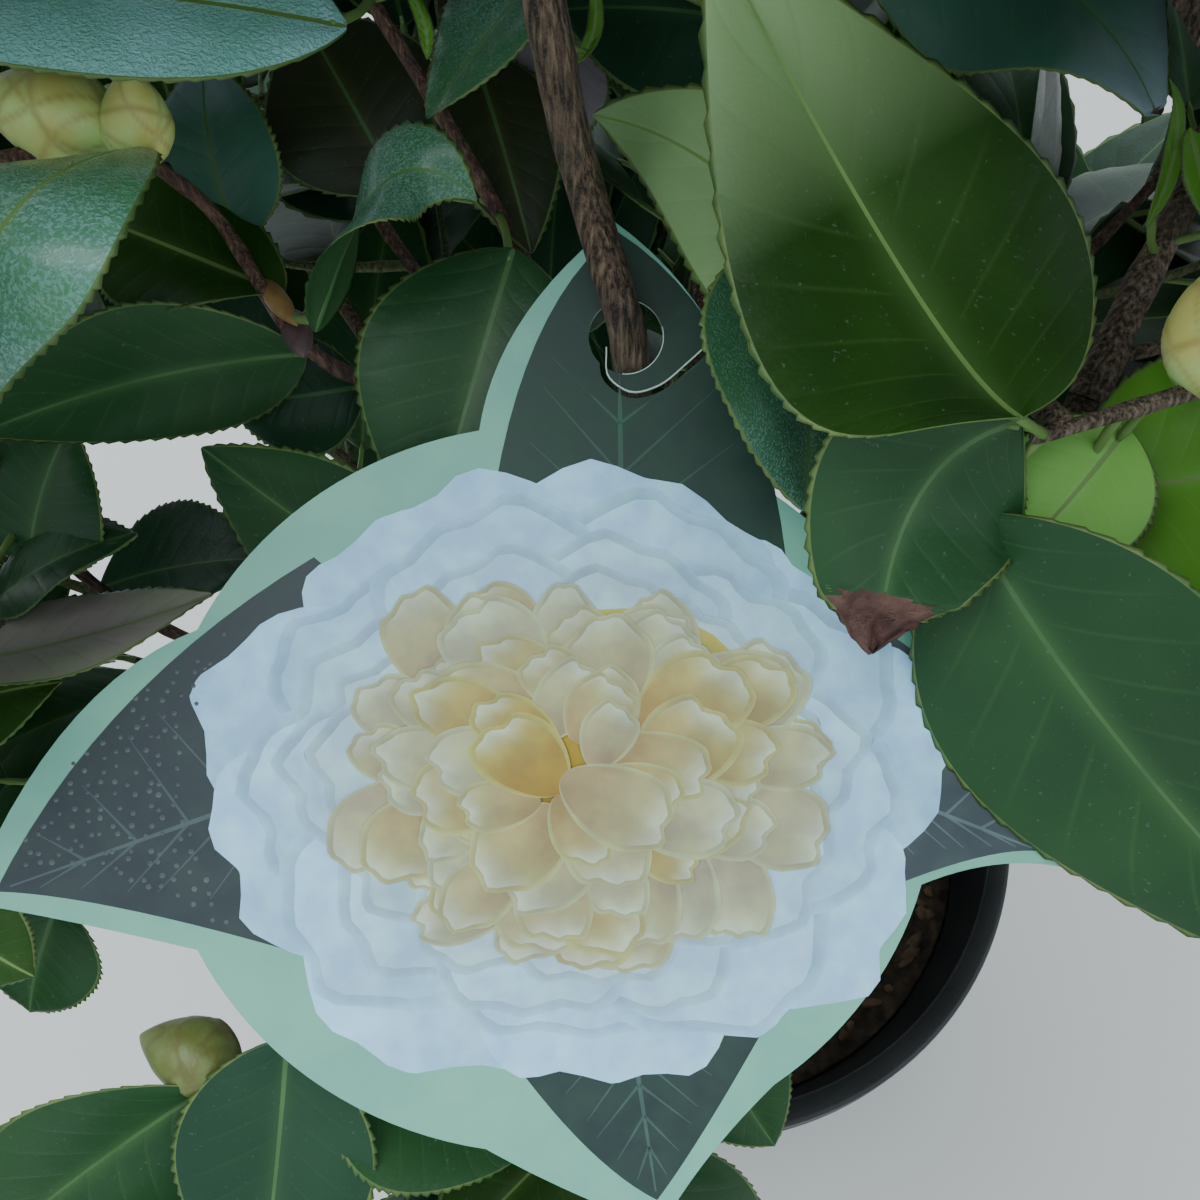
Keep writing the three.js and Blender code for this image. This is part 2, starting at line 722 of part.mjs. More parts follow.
function growLeaves(mass, twig, keys) {
  const length = twig.curve.getLength();
  const spiral = radians(growth.spiralDeg);
  const count = Math.floor((length * (growth.leafTo - growth.leafFrom)) / growth.leafSpacing);
  const splay = radians(growth.leafSplayDeg);
  const clusterSplay = radians(growth.clusterSplayDeg);
  for (let i = 0; i <= count; i++) {
    const share = growth.leafFrom + (i * growth.leafSpacing) / length;
    growLeaf(mass, twig, share, i * spiral, splay, [...keys, i]);
  }
  for (let i = 0; i < growth.clusterLeaves; i++) {
    const turn = (i * 2 * Math.PI) / growth.clusterLeaves + radians(growth.clusterTurnDeg);
    growLeaf(mass, twig, growth.clusterAt, turn, clusterSplay, [...keys, draw.cluster + i]);
  }
}

function growBud(mass, twig, keys) {
  if (chance(...keys, draw.bud) > growth.budShare) return;
  const foot = twig.curve.getPoint(1);
  const axis = twig.curve.getTangent(1).addScaledVector(up, growth.budLift).normalize();
  const tip = foot.clone().addScaledVector(axis, between(...budForm.lengths, ...keys, draw.bud + 1));
  if (!allowed([foot, tip], mass)) return;
  mass.made.buds.push({ foot, tip, radius: between(...budForm.radii, ...keys, draw.bud + 2) });
}

// Side twigs stand round every stem of a mass, and each carries its own leaves
function growSideTwigs(mass, stem, keys) {
  for (let i = 0; i < growth.sideTwigs; i++) {
    const share = THREE.MathUtils.lerp(growth.sideFrom, growth.sideTo, i / (growth.sideTwigs - 1));
    const root = onTwig(stem, share);
    const axis = stem.curve.getTangentAt(share);
    for (let attempt = 0; attempt < growth.tries; attempt++) {
      const swing = between(-growth.sideSwingDeg, growth.sideSwingDeg, ...keys, draw.turn + i, attempt);
      const turn = radians(i * growth.spiralDeg + swing);
      const direction = splayed(axis, turn, radians(growth.sideSplayDeg));
      const length = between(growth.sideShortest, growth.sideLongest, ...keys, draw.length + i, attempt);
      const twig = makeSideTwig(risingWay(root, direction, length));
      if (!allowed(twig.curve.points.slice(1), mass)) continue;
      const room = limbRoom(twig.curve, twig.radius, twig.roomFrom, twigForm.sides);
      if (meets(rooms, room)) continue;
      rooms.push(room);
      const before = mass.made.leaves.length;
      growLeaves(mass, twig, [...keys, draw.twig + i]);
      if (mass.made.leaves.length > before) {
        mass.made.twigs.push(twig);
        growBud(mass, twig, [...keys, draw.twig + i]);
        break;
      }
      rooms.pop();
    }
  }
}

// A mass joined into one solid, without the leaves that would reach into what is already there
function foliageGeometry(mass, others) {
  const { twigs, leaves, buds } = mass.made;
  const blades = leaves.map((leaf) => asRoom(leafGeometry(leaf))).filter((blade) => !meets(others, blade));
  const parts = [...twigs.map(twigSolid), ...blades.map(({ solid }) => solid), ...buds.map(budSolid)];
  return toGeometry(parts.reduce((whole, part) => whole.add(part)));
}

function potGeometry() {
  const shoulder = pot.height - pot.rimDrop;
  const { edge, wall } = pot;
  const profile = [
    [0, 0],
    [pot.baseRadius - edge, 0],
    [pot.baseRadius, edge],
    [pot.shoulderRadius, shoulder],
    [pot.rimRadius, shoulder],
    [pot.rimRadius, pot.height - edge],
    [pot.rimRadius - edge, pot.height],
    [pot.mouthRadius, pot.height],
    [pot.shoulderRadius - wall, shoulder - wall],
    [pot.baseRadius - wall, pot.floor],
    [0, pot.floor],
  ].map(([radius, height]) => new THREE.Vector2(radius, height));
  let solid = toSolid(new THREE.LatheGeometry(profile, pot.segments).rotateX(Math.PI / 2));
  for (let i = 0; i < pot.holes; i++) {
    const turn = (2 * Math.PI * i) / pot.holes;
    const hole = new THREE.CylinderGeometry(pot.holeRadius, pot.holeRadius, 4 * pot.floor, 8);
    hole.rotateX(Math.PI / 2);
    hole.translate(pot.holeCircle * Math.cos(turn), pot.holeCircle * Math.sin(turn), 0);
    solid = solid.subtract(toSolid(hole));
  }
  return toGeometry(solid);
}

// The inside radius of the pot's tapered wall at a height
function wallInside(height) {
  const shoulder = pot.height - pot.rimDrop - pot.wall;
  const share = (height - pot.floor) / (shoulder - pot.floor);
  return THREE.MathUtils.lerp(pot.baseRadius, pot.shoulderRadius, share) - pot.wall;
}

function compostGeometry() {
  const bottom = pot.floor + gap;
  const side = compost.level - compost.sideDrop;
  const profile = [
    [0, bottom],
    [wallInside(bottom) - 2 * gap, bottom],
    [wallInside(side) - 2 * gap, side],
    [compost.crown, compost.level],
    [0, compost.level],
  ].map(([radius, height]) => new THREE.Vector2(radius, height));
  return bare(new THREE.LatheGeometry(profile, compost.segments).rotateX(Math.PI / 2));
}

function onBody(degrees) {
  const { bodyCentre, bodyWide, bodyHigh } = label;
  const turn = radians(degrees);
  return [bodyCentre.x + bodyWide * Math.cos(turn), bodyCentre.y + bodyHigh * Math.sin(turn)];
}

// The label's outline: a round body, a tongue at the top and three leaf-shaped lobes
function labelOutline() {
  const { bodyCentre: { x, y }, bodyWide, bodyHigh } = label;
  const body = (from, to) => {
    outline.absellipse(x, y, bodyWide, bodyHigh, radians(from), radians(to), false, 0);
  };
  const curve = (cx, cy, tx, ty) => outline.quadraticCurveTo(cx, cy, tx, ty);
  const outline = new THREE.Shape();
  outline.moveTo(2.1, 52.9);
  curve(-14.5, 40, ...onBody(100));
  body(100, 154);
  curve(-76, -12, -88, -42);
  curve(-76, -44, ...onBody(206));
  body(206, 261);
  curve(-5, -83, 8.5, -88);
  curve(14, -78, ...onBody(306));
  body(306, 345);
  curve(56, -35, 65.8, -37.5);
  curve(62, -8, ...onBody(30));
  body(30, 57);
  curve(20, 40, 2.1, 52.9);
  return outline;
}

// The slit that lets the hole's edge open round the stem, as a narrow band along a curve
function slitOutline() {
  const points = [[19, 39], [12.6, 32.9], [8.4, 29.6], [4.2, 28.7], [0.7, 31.2], [0.4, 35.4]];
  const way = new THREE.SplineCurve(points.map((p) => new THREE.Vector2(...p)));
  const steps = 8;
  const [left, right] = [[], []];
  for (let i = 0; i <= steps; i++) {
    const at = way.getPoint(i / steps);
    const tangent = way.getTangent(i / steps);
    const normal = new THREE.Vector2(-tangent.y, tangent.x).multiplyScalar(label.slitWidth / 2);
    left.push(at.clone().add(normal));
    right.unshift(at.clone().sub(normal));
  }
  return new THREE.Shape([...left, ...right]);
}

function labelGeometry() {
  const { thickness, hole, holeRadius } = label;
  const plate = new THREE.ExtrudeGeometry(labelOutline(), {
    depth: thickness,
    bevelEnabled: false,
    curveSegments: 5,
  });
  plate.translate(0, 0, -thickness);
  const slit = new THREE.ExtrudeGeometry(slitOutline(), { depth: 4 * thickness, bevelEnabled: false });
  slit.translate(0, 0, -2 * thickness);
  const round = new THREE.CylinderGeometry(holeRadius, holeRadius, 4 * thickness, 20);
  round.rotateX(Math.PI / 2).translate(hole.x, hole.y, 0);
  return toGeometry(toSolid(plate).subtract(toSolid(slit)).subtract(toSolid(round)));
}

const shrub = new THREE.Group();

function add(name, geometry, surface) {
  const mesh = new THREE.Mesh(geometry, new THREE.MeshStandardMaterial({ ...surface, metalness: 0 }));
  mesh.name = name;
  shrub.add(mesh);
  return mesh;
}

const blackPlastic = { color: 0x1b1c1f, roughness: 0.55 };
const darkCompost = { color: 0x2e2620, roughness: 0.95 };
const bark = { color: 0x6b4a35, roughness: 0.85 };
const mintPlastic = { color: 0xb7dcc2, roughness: 0.45 };
const leafGreens = [0x2f4f2a, 0x38592c, 0x294727];

add("pot", potGeometry(), blackPlastic);
add("compost", compostGeometry(), darkCompost);
add("trunk", loft(trunkRings), bark);
rooms.push(limbRoom(trunkCurve, along(trunk.radii, trunk.foot), 0, trunk.sides));
add("label", labelGeometry(), mintPlastic).applyMatrix4(labelPlace);

masses.forEach(layOut);
for (const mass of masses) {
  mass.home = new THREE.CatmullRomCurve3(mass.twigs[0]).getPointAt(growth.homeShare);
  if (mass.boughWay) add(`bough_${mass.name}`, boughGeometry(mass), bark);
  const made = mass.twigs.map((way) => makeTwig(way, mass.radius));
  mass.made = { twigs: made, leaves: [], buds: [] };
  for (const twig of made) rooms.push(limbRoom(twig.curve, twig.radius, 0, twigForm.sides));
  placeByHand(mass);
}
masses.forEach((mass, m) => {
  const stems = [...mass.made.twigs];
  stems.forEach((stem, i) => {
    growLeaves(mass, stem, [m, i]);
    growSideTwigs(mass, stem, [m, i]);
    growBud(mass, stem, [m, i]);
  });
});
shrub.updateMatrixWorld();
const finished = shrub.children.map((mesh) => asRoom(mesh.geometry.clone().applyMatrix4(mesh.matrixWorld)));
masses.forEach((mass, m) => {
  const glossyLeaf = { color: leafGreens[m % leafGreens.length], roughness: 0.45 };
  const { geometry } = add(`foliage_${mass.name}`, foliageGeometry(mass, finished), glossyLeaf);
  finished.push(asRoom(geometry));
});

export default shrub;
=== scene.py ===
"""A young camellia in a black nursery pot, with a die-cut picture label hooked on its main stem.

Every piece is worked out in millimetres from the same named sizes as the frame's solids, in the same
frame, and goes into its mesh in metres.
"""

from __future__ import annotations

import logging
import math
from dataclasses import dataclass, field, fields, replace
from enum import Enum
from typing import Iterable, Sequence

import bpy
import numpy as np
from bpy.types import Material, Node, NodeSocket, NodeTree, Object
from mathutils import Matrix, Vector
from mathutils.bvhtree import BVHTree
from mathutils.geometry import delaunay_2d_cdt

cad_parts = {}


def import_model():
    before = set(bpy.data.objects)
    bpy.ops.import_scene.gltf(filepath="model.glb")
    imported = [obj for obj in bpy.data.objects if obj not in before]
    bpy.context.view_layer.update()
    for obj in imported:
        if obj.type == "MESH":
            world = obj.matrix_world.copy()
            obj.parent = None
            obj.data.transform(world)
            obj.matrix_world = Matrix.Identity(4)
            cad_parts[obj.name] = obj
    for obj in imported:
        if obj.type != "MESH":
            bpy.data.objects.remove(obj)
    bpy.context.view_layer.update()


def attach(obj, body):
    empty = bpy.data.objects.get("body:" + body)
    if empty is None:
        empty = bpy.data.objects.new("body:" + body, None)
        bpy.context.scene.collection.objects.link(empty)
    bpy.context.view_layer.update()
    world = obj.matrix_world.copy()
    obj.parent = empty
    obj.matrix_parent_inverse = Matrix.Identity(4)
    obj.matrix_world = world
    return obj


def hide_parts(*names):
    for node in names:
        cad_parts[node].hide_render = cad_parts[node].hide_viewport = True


MM = 0.001
UP = np.array([0.0, 0.0, 1.0])
SPIRAL_DEG = 137.5
Pair = tuple[float, float]
Place = tuple[float, float, float]
Colour = tuple[float, float, float]
Array = np.ndarray
log = logging.getLogger("camellia")


class Slot(Enum):
    """The record's material slots."""

    POT = "pot"
    COMPOST = "compost"
    BARK = "bark"
    LABEL = "label"
    FOLIAGE = "foliage"


class Look(Enum):
    """How a leaf looks, by its age and what lies on it, two looks with a painted sheen towards the tip."""

    DEEP = "leaf deep green"
    DARK = "leaf dark green"
    MID = "leaf middle green"
    # A painted sheen: this leaf's tip is paler to stand for the sky's light on it.
    LIT = "leaf with a pale tip"
    DUSTY = "leaf dusty green"
    LIGHT = "leaf light green"
    BRIGHT = "leaf bright green"
    # The wet looks' blue-grey tints are partly their water and partly a painted sheen of the sky.
    WET = "leaf beaded with water"
    MIST = "misted leaf"
    DEWY = "leaf with a few drops"
    SHEEN = "leaf with a grey sheen"
    BRONZE = "leaf bronze green"
    OLD = "leaf old brown mauve"
    PALE = "leaf pale mauve grey"


class Side(Enum):
    """The parts of a leaf that have a finish of their own, with their places after the looks."""

    UNDER = "leaf underside"
    # Painted shade: a darker underside for leaves whose undersides hang in shadow.
    DARK_UNDER = "dark leaf underside"
    MIDRIB = "leaf midrib"
    PALE_MIDRIB = "leaf pale midrib"
    EDGE = "leaf toothed edge"
    WITHERED = "leaf withered tip"


class Tone(Enum):
    """The colours of bud scales, the pale one lightened as painted light."""

    GREEN = "green bud scales"
    # Painted light: pale yellow-green scales made lighter for buds that sit in the leaves' shade.
    PALE = "pale bud scales"
    AMBER = "amber scale"
    MAUVE = "mauve scale"


LEAF_PARTS = [*Look, *Side]
TONES = list(Tone)
DARK_RIBBED = (Look.DEEP, Look.DARK, Look.DEWY, Look.SHEEN, Look.BRONZE)


# Chances and directions


def chance(*keys: int) -> float:
    """One repeatable number from 0 to 1 for a few whole numbers, by the solids' own rule.

    Args:
        keys: The whole numbers that name the draw.

    Returns:
        The number.
    """
    word = 2166136261
    for key in keys:
        word = ((word ^ (key & 0xFFFFFFFF)) * 16777619) & 0xFFFFFFFF
        word ^= word >> 13
        word = (word * 0x5BD1E995) & 0xFFFFFFFF
        word ^= word >> 15
    return word / 4294967296


def between(low: float, high: float, *keys: int) -> float:
    """A repeatable number between two others."""
    return low + (high - low) * chance(*keys)


def zipped(*parts: Array) -> Array:
    """Arrays side by side along a new last axis."""
    return np.stack(parts, axis=-1)


def unit(vectors: Array) -> Array:
    """The vectors along the last axis, each made one long."""
    return vectors / np.maximum(np.linalg.norm(vectors, axis=-1, keepdims=True), 1e-12)


def vec(*values: float) -> Array:
    """A vector as an array of floats."""
    return np.array(values, float)


def circle(turns: Array) -> Array:
    """Points at turns round a circle of radius one."""
    return zipped(np.cos(turns), np.sin(turns))


def whole_turn(count: int) -> Array:
    """Angles that share out a whole turn, in radians."""
    return np.linspace(0, 2 * math.pi, count, endpoint=False)


def value_noise(points: Array, seed: int = 0, wrap: int = 0) -> Array:
    """Smooth noise from 0 to 1: random values at whole places, blended between them by 3t^2 - 2t^3.

    Args:
        points: Places with two coordinates, in cells of the noise.
        seed: Picks another pattern.
        wrap: Whole number of cells after which the first coordinate repeats, or 0.

    Returns:
        One number for each place.
    """
    cell = np.floor(points).astype(np.int64)
    part = points - cell
    ease = part * part * (3 - 2 * part)

    def corner(dx: int, dy: int) -> Array:
        """A random value at one corner of each cell."""
        x = cell[..., 0] + dx
        if wrap:
            x = np.mod(x, wrap)
        y = cell[..., 1] + dy
        word = (x * 374761393 + y * 668265263 + seed * 974634777) & 0xFFFFFFFF
        word = ((word ^ (word >> 13)) * 1274126177) & 0xFFFFFFFF
        return ((word ^ (word >> 16)) & 0xFFFF) / 65535.0

    low = corner(0, 0) * (1 - ease[..., 0]) + corner(1, 0) * ease[..., 0]
    high = corner(0, 1) * (1 - ease[..., 0]) + corner(1, 1) * ease[..., 0]
    return low * (1 - ease[..., 1]) + high * ease[..., 1]


class Way:
    """A smooth curve through points: centripetal Catmull-Rom, read by its share of length."""

    def __init__(self, points: Sequence[Sequence[float]]) -> None:
        """Keeps the points and measures the curve.

        Args:
            points: At least two places for it to pass through.
        """
        self.points = np.array(points, float)
        ends = [2 * self.points[0] - self.points[1], 2 * self.points[-1] - self.points[-2]]
        self._padded = np.vstack([ends[0], self.points, ends[1]])
        self._turns = np.linspace(0, 1, 201)
        steps = np.linalg.norm(np.diff(self.point(self._turns), axis=0), axis=1)
        self._lengths = np.concatenate([[0], np.cumsum(steps)])
        self.length = float(self._lengths[-1])

    def point(self, turns: Array) -> Array:
        """The points at shares of the curve's own parameter, each span a cubic with matched slopes."""
        spans = len(self.points) - 1
        place = np.clip(np.asarray(turns, float), 0, 1) * spans
        span = np.minimum(place.astype(int), spans - 1)
        t = (place - span)[..., None]
        p0, p1, p2, p3 = (self._padded[span + k] for k in range(4))

        def gap(a: Array, b: Array) -> Array:
            """The square root of the distance between two points."""
            return np.sqrt(np.maximum(np.linalg.norm(b - a, axis=-1, keepdims=True), 1e-8))

        d0, d1, d2 = gap(p0, p1), gap(p1, p2), gap(p2, p3)
        start = ((p1 - p0) / d0 - (p2 - p0) / (d0 + d1) + (p2 - p1) / d1) * d1
        end = ((p2 - p1) / d1 - (p3 - p1) / (d1 + d2) + (p3 - p2) / d2) * d1
        square = -3 * p1 + 3 * p2 - 2 * start - end
        cube = 2 * p1 - 2 * p2 + start + end
        return p1 + start * t + square * t * t + cube * t * t * t

    def at(self, shares: Array | float) -> Array:
        """The points at shares of the curve's length."""
        turns = np.interp(np.asarray(shares, float) * self.length, self._lengths, self._turns)
        return self.point(turns)

    def tangent(self, shares: Array | float) -> Array:
        """The directions at shares of the curve's length, each one long."""
        turns = np.interp(np.asarray(shares, float) * self.length, self._lengths, self._turns)
        step = 1e-4
        return unit(self.point(np.minimum(turns + step, 1)) - self.point(np.maximum(turns - step, 0)))


def splayed(axis: Array, turn: float, splay: float) -> Array:
    """A direction that leaves an axis at an angle, turned round it."""
    level = unit(np.cross(axis, vec(0.1, 0.2, 1)))
    radial = level * math.cos(turn) + np.cross(axis, level) * math.sin(turn)
    return axis * math.cos(splay) + radial * math.sin(splay)


# Meshes


@dataclass
class Skin:
    """A mesh as arrays: points in millimetres, faces of four and three corners, and what lies on them."""

    points: Array
    quads: Array = field(default_factory=lambda: np.zeros((0, 4), int))
    tris: Array = field(default_factory=lambda: np.zeros((0, 3), int))
    quad_slots: Array | int = 0
    tri_slots: Array | int = 0
    uv: Array | None = None
    tint: Array | None = None

    def __post_init__(self) -> None:
        """Fills in what is left out."""
        self.quad_slots = np.broadcast_to(self.quad_slots, len(self.quads)).copy()
        self.tri_slots = np.broadcast_to(self.tri_slots, len(self.tris)).copy()
        if self.uv is None:
            self.uv = np.zeros((len(self.points), 2))
        if self.tint is None:
            self.tint = np.ones((len(self.points), 3))

    @staticmethod
    def joined(skins: Iterable[Skin]) -> Skin:
        """Several skins as one, the corners of each counted on from those before it."""
        parts = list(skins)
        firsts = np.cumsum([0] + [len(part.points) for part in parts[:-1]])
        values = {item.name: [getattr(part, item.name) for part in parts] for item in fields(Skin)}
        for key in ("quads", "tris"):
            values[key] = [corners + first for corners, first in zip(values[key], firsts)]
        return Skin(**{key: np.concatenate(arrays) for key, arrays in values.items()})

    def triangles(self) -> int:
        """How many triangles the skin has."""
        return 2 * len(self.quads) + len(self.tris)

    def to_object(self, name: str, materials: Sequence[Material], smooth: bool = True) -> Object:
        """Makes an object at the origin, its place in its mesh, in metres.

        Args:
            name: The object's name.
            materials: The materials that the faces' slots count through.
            smooth: Whether its faces are shaded as one smooth surface.

        Returns:
            The object, in the scene.
        """
        mesh = bpy.data.meshes.new(name)
        corners = np.concatenate([self.quads.ravel(), self.tris.ravel()]).astype(np.int32)
        totals = np.concatenate([np.full(len(self.quads), 4), np.full(len(self.tris), 3)]).astype(np.int32)
        starts = np.concatenate([[0], np.cumsum(totals)[:-1]]).astype(np.int32)
        mesh.vertices.add(len(self.points))
        mesh.vertices.foreach_set("co", (self.points * MM).astype(np.float32).ravel())
        mesh.loops.add(len(corners))
        mesh.loops.foreach_set("vertex_index", corners)
        mesh.polygons.add(len(totals))
        mesh.polygons.foreach_set("loop_start", starts)
        mesh.polygons.foreach_set("loop_total", totals)
        slots = np.concatenate([self.quad_slots, self.tri_slots]).astype(np.int32)
        mesh.polygons.foreach_set("material_index", slots)
        mesh.polygons.foreach_set("use_smooth", np.full(len(totals), smooth))
        layer = mesh.uv_layers.new(name="UVMap")
        layer.data.foreach_set("uv", self.uv[corners].astype(np.float32).ravel())
        colours = mesh.color_attributes.new("tint", "FLOAT_COLOR", "POINT")
        rgba = np.concatenate([self.tint, np.ones((len(self.tint), 1))], axis=1)
        colours.data.foreach_set("color", rgba.astype(np.float32).ravel())
        for material in materials:
            mesh.materials.append(material)
        mesh.update()
        mesh.validate()
        piece = bpy.data.objects.new(name, mesh)
        bpy.context.scene.collection.objects.link(piece)
        return piece


def lay_piece(
    skin: Skin,
    name: str,
    materials: Sequence[Material],
    nodes: Sequence[str],
    smooth: bool = True,
) -> Object:
    """Makes a piece of the plant.

    Args:
        skin: Its shape.
        name: Its name.
        materials: The materials that its faces' slots count through.
        nodes: The solids that it stands for.
        smooth: Whether it is shaded as one smooth surface.

    Returns:
        The piece, on the plant's body.
    """
    piece = skin.to_object(name, materials, smooth)
    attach(piece, "root")
    if nodes:
        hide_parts(*nodes)
    log.info("%s: %d triangles", name, skin.triangles())
    return piece


def ring_quads(rows: int, columns: int) -> Array:
    """The faces between closed rings of points, each corner numbered row by row.

    Args:
        rows: How many rings there are.
        columns: How many points each ring has.

    Returns:
        The corners of each face, anticlockwise seen from outside rings that turn anticlockwise.
    """
    row, column = np.meshgrid(np.arange(rows - 1), np.arange(columns), indexing="ij")
    onward = (column + 1) % columns
    first = row * columns
    corners = [first + column, first + onward, first + columns + onward, first + columns + column]
    return np.stack(corners, axis=-1).reshape(-1, 4)


def grid_quads(rows: int, columns: int) -> Array:
    """The faces of an open grid of points, numbered row by row."""
    row, column = np.meshgrid(np.arange(rows - 1), np.arange(columns - 1), indexing="ij")
    first = row * columns + column
    return zipped(first, first + 1, first + columns + 1, first + columns).reshape(-1, 4)


def closed_skin(rings: Array, slots: Array | int = 0, uv: Array | None = None) -> Skin:
    """A closed skin over rings, each end drawn in to a point at its ring's middle.

    Args:
        rings: Points as rows of rings, turning anticlockwise round the way they follow.
        slots: The material slot of each face between rings, by row and column, or one for all.
        uv: Pattern coordinates for each point of the rings, or None.

    Returns:
        The skin.
    """
    rows, columns = rings.shape[:2]
    middles = np.stack([rings[0].mean(axis=0), rings[-1].mean(axis=0)])
    points = np.concatenate([rings.reshape(-1, 3), middles])
    k = np.arange(columns)
    onward = (k + 1) % columns
    middle = np.full(columns, rows * columns)
    last = (rows - 1) * columns
    foot = zipped(middle, onward, k)
    tip = zipped(middle + 1, last + k, last + onward)
    grid = np.broadcast_to(slots, (rows - 1, columns))
    uv = np.zeros((rows, columns, 2)) if uv is None else uv
    uv = np.concatenate([uv.reshape(-1, 2), [uv[0].mean(axis=0), uv[-1].mean(axis=0)]])
    tri_slots = np.concatenate([grid[0], grid[-1]])
    return Skin(points, ring_quads(rows, columns), np.concatenate([foot, tip]), grid.ravel(), tri_slots, uv)


def limb_rings(way: Way, radii: Array, sides: int) -> Array:
    """Rings round a way: centre plus radius times the cosine and sine of the turn along two normals.

    Args:
        way: The limb's axis.
        radii: The radius at each station, or at each station and side.
        sides: How many points each ring has.

    Returns:
        The rings' points, by station and side.
    """
    shares = np.linspace(0, 1, len(radii))
    centres, tangents = way.at(shares), way.tangent(shares)
    spans = np.abs(tangents).max(axis=0)
    level = np.eye(3)[int(np.argmin(spans))]
    normals = unit(level - (tangents @ level)[:, None] * tangents)
    across = np.cross(tangents, normals)
    turns = whole_turn(sides)
    reach = np.broadcast_to(radii.reshape(len(radii), -1), (len(radii), sides))[..., None]
    cosines, sines = np.cos(turns)[None, :, None], np.sin(turns)[None, :, None]
    return centres[:, None] + reach * (cosines * normals[:, None] + sines * across[:, None])


def limb_uv(stations: int, sides: int) -> Array:
    """Pattern coordinates of a limb: round it, and along it."""
    round_it, along_it = np.meshgrid(np.arange(sides) / sides, np.linspace(0, 1, stations))
    return zipped(round_it, along_it)


# Finishes


class Nodes:
    """A short hand for wiring a node tree."""

    def __init__(self, tree: NodeTree) -> None:
        """Keeps the tree."""
        self.tree = tree

    def put(self, node: Node, values: dict) -> Node:
        """Feeds a node's inputs: a socket is joined, and a number, a colour or a vector is set."""
        for key, value in values.items():
            socket = node.inputs[key]
            if isinstance(value, NodeSocket):
                self.tree.links.new(value, socket)
            else:
                socket.default_value = (*value, 1.0) if socket.type == "RGBA" else value
        return node

    def add(self, kind: str, feeds: dict | None = None, **values: object) -> Node:
        """Adds a node, with feeds for its inputs and values for its properties."""
        node = self.tree.nodes.new(kind)
        for name, value in values.items():
            setattr(node, name, value)
        return self.put(node, feeds or {})

    def math(self, operation: str, *operands: object, clamp: bool = False) -> NodeSocket:
        """A Math node's result. Each operand is a socket or a number."""
        feeds = dict(enumerate(operands))
        return self.add("ShaderNodeMath", feeds, operation=operation, use_clamp=clamp).outputs[0]

    def times(self, a: object, b: object) -> NodeSocket:
        """The product of two sockets or numbers."""
        return self.math("MULTIPLY", a, b)

    def plus(self, a: object, b: object) -> NodeSocket:
        """The sum of two sockets or numbers."""
        return self.math("ADD", a, b)

    def less(self, a: object, b: object) -> NodeSocket:
        """The first socket or number less the second."""
        return self.math("SUBTRACT", a, b)

    def mix(self, factor: object, a: object, b: object, blend: str = "MIX") -> NodeSocket:
        """A colour mix. Each colour is a socket or three numbers."""
        feeds = {0: factor, 6: a, 7: b}
        return self.add("ShaderNodeMix", feeds, data_type="RGBA", blend_type=blend).outputs[2]

    def ramp(self, source: NodeSocket, low: float, high: float) -> NodeSocket:
        """Source stretched so that low becomes 0 and high becomes 1, clamped."""
        return self.add("ShaderNodeMapRange", {0: source, 1: low, 2: high}, clamp=True).outputs[0]

    def place(self) -> NodeSocket:
        """Object coordinates."""
        return self.add("ShaderNodeTexCoord").outputs["Object"]

    def noise(self, scale: object, detail: float, place: NodeSocket, distortion: float = 0.0) -> NodeSocket:
        """A noise texture's value at a place."""
        feeds = {"Scale": scale, "Detail": detail, "Vector": place, "Distortion": distortion}
        return self.add("ShaderNodeTexNoise", feeds).outputs[0]

    def group(self, tree: NodeTree, **values: float) -> dict[str, NodeSocket]:
        """A node group's outputs by name, with values for its inputs."""
        return self.put(self.add("ShaderNodeGroup", node_tree=tree), values).outputs

    def bump(self, shader: Node, height: object, strength: float, depth_mm: float) -> None:
        """Feeds a height through a Bump node to a shader's Normal."""
        feeds = {"Strength": strength, "Distance": depth_mm * MM, "Height": height}
        self.put(shader, {"Normal": self.add("ShaderNodeBump", feeds).outputs[0]})


def new_group(
    name: str, inputs: dict[str, float], outputs: Sequence[str]
) -> tuple[NodeTree, Nodes, Node, Node]:
    """An empty shader node group with number inputs and number outputs.

    Args:
        name: The group's name.
        inputs: Each input's name and starting value.
        outputs: The outputs' names.

    Returns:
        The group, its wiring hand, and its nodes for what comes in and what goes out.
    """
    group = bpy.data.node_groups.new(name, "ShaderNodeTree")
    for key, value in inputs.items():
        socket = group.interface.new_socket(name=key, in_out="INPUT", socket_type="NodeSocketFloat")
        socket.default_value = value
    for key in outputs:
        group.interface.new_socket(name=key, in_out="OUTPUT", socket_type="NodeSocketFloat")
    nodes = Nodes(group)
    return group, nodes, nodes.add("NodeGroupInput"), nodes.add("NodeGroupOutput")


def make_mottle_group() -> NodeTree:
    """Blotches and fine grain: two noises on Object coordinates, one coarse and one fine."""
    group, nodes, given, made = new_group("Mottle", {"Coarse": 60.0, "Fine": 900.0}, ["Blotch", "Grain"])
    place = nodes.place()
    blotch = nodes.noise(given.outputs["Coarse"], 3.0, place)
    nodes.put(made, {"Blotch": blotch, "Grain": nodes.noise(given.outputs["Fine"], 4.0, place)})
    return group


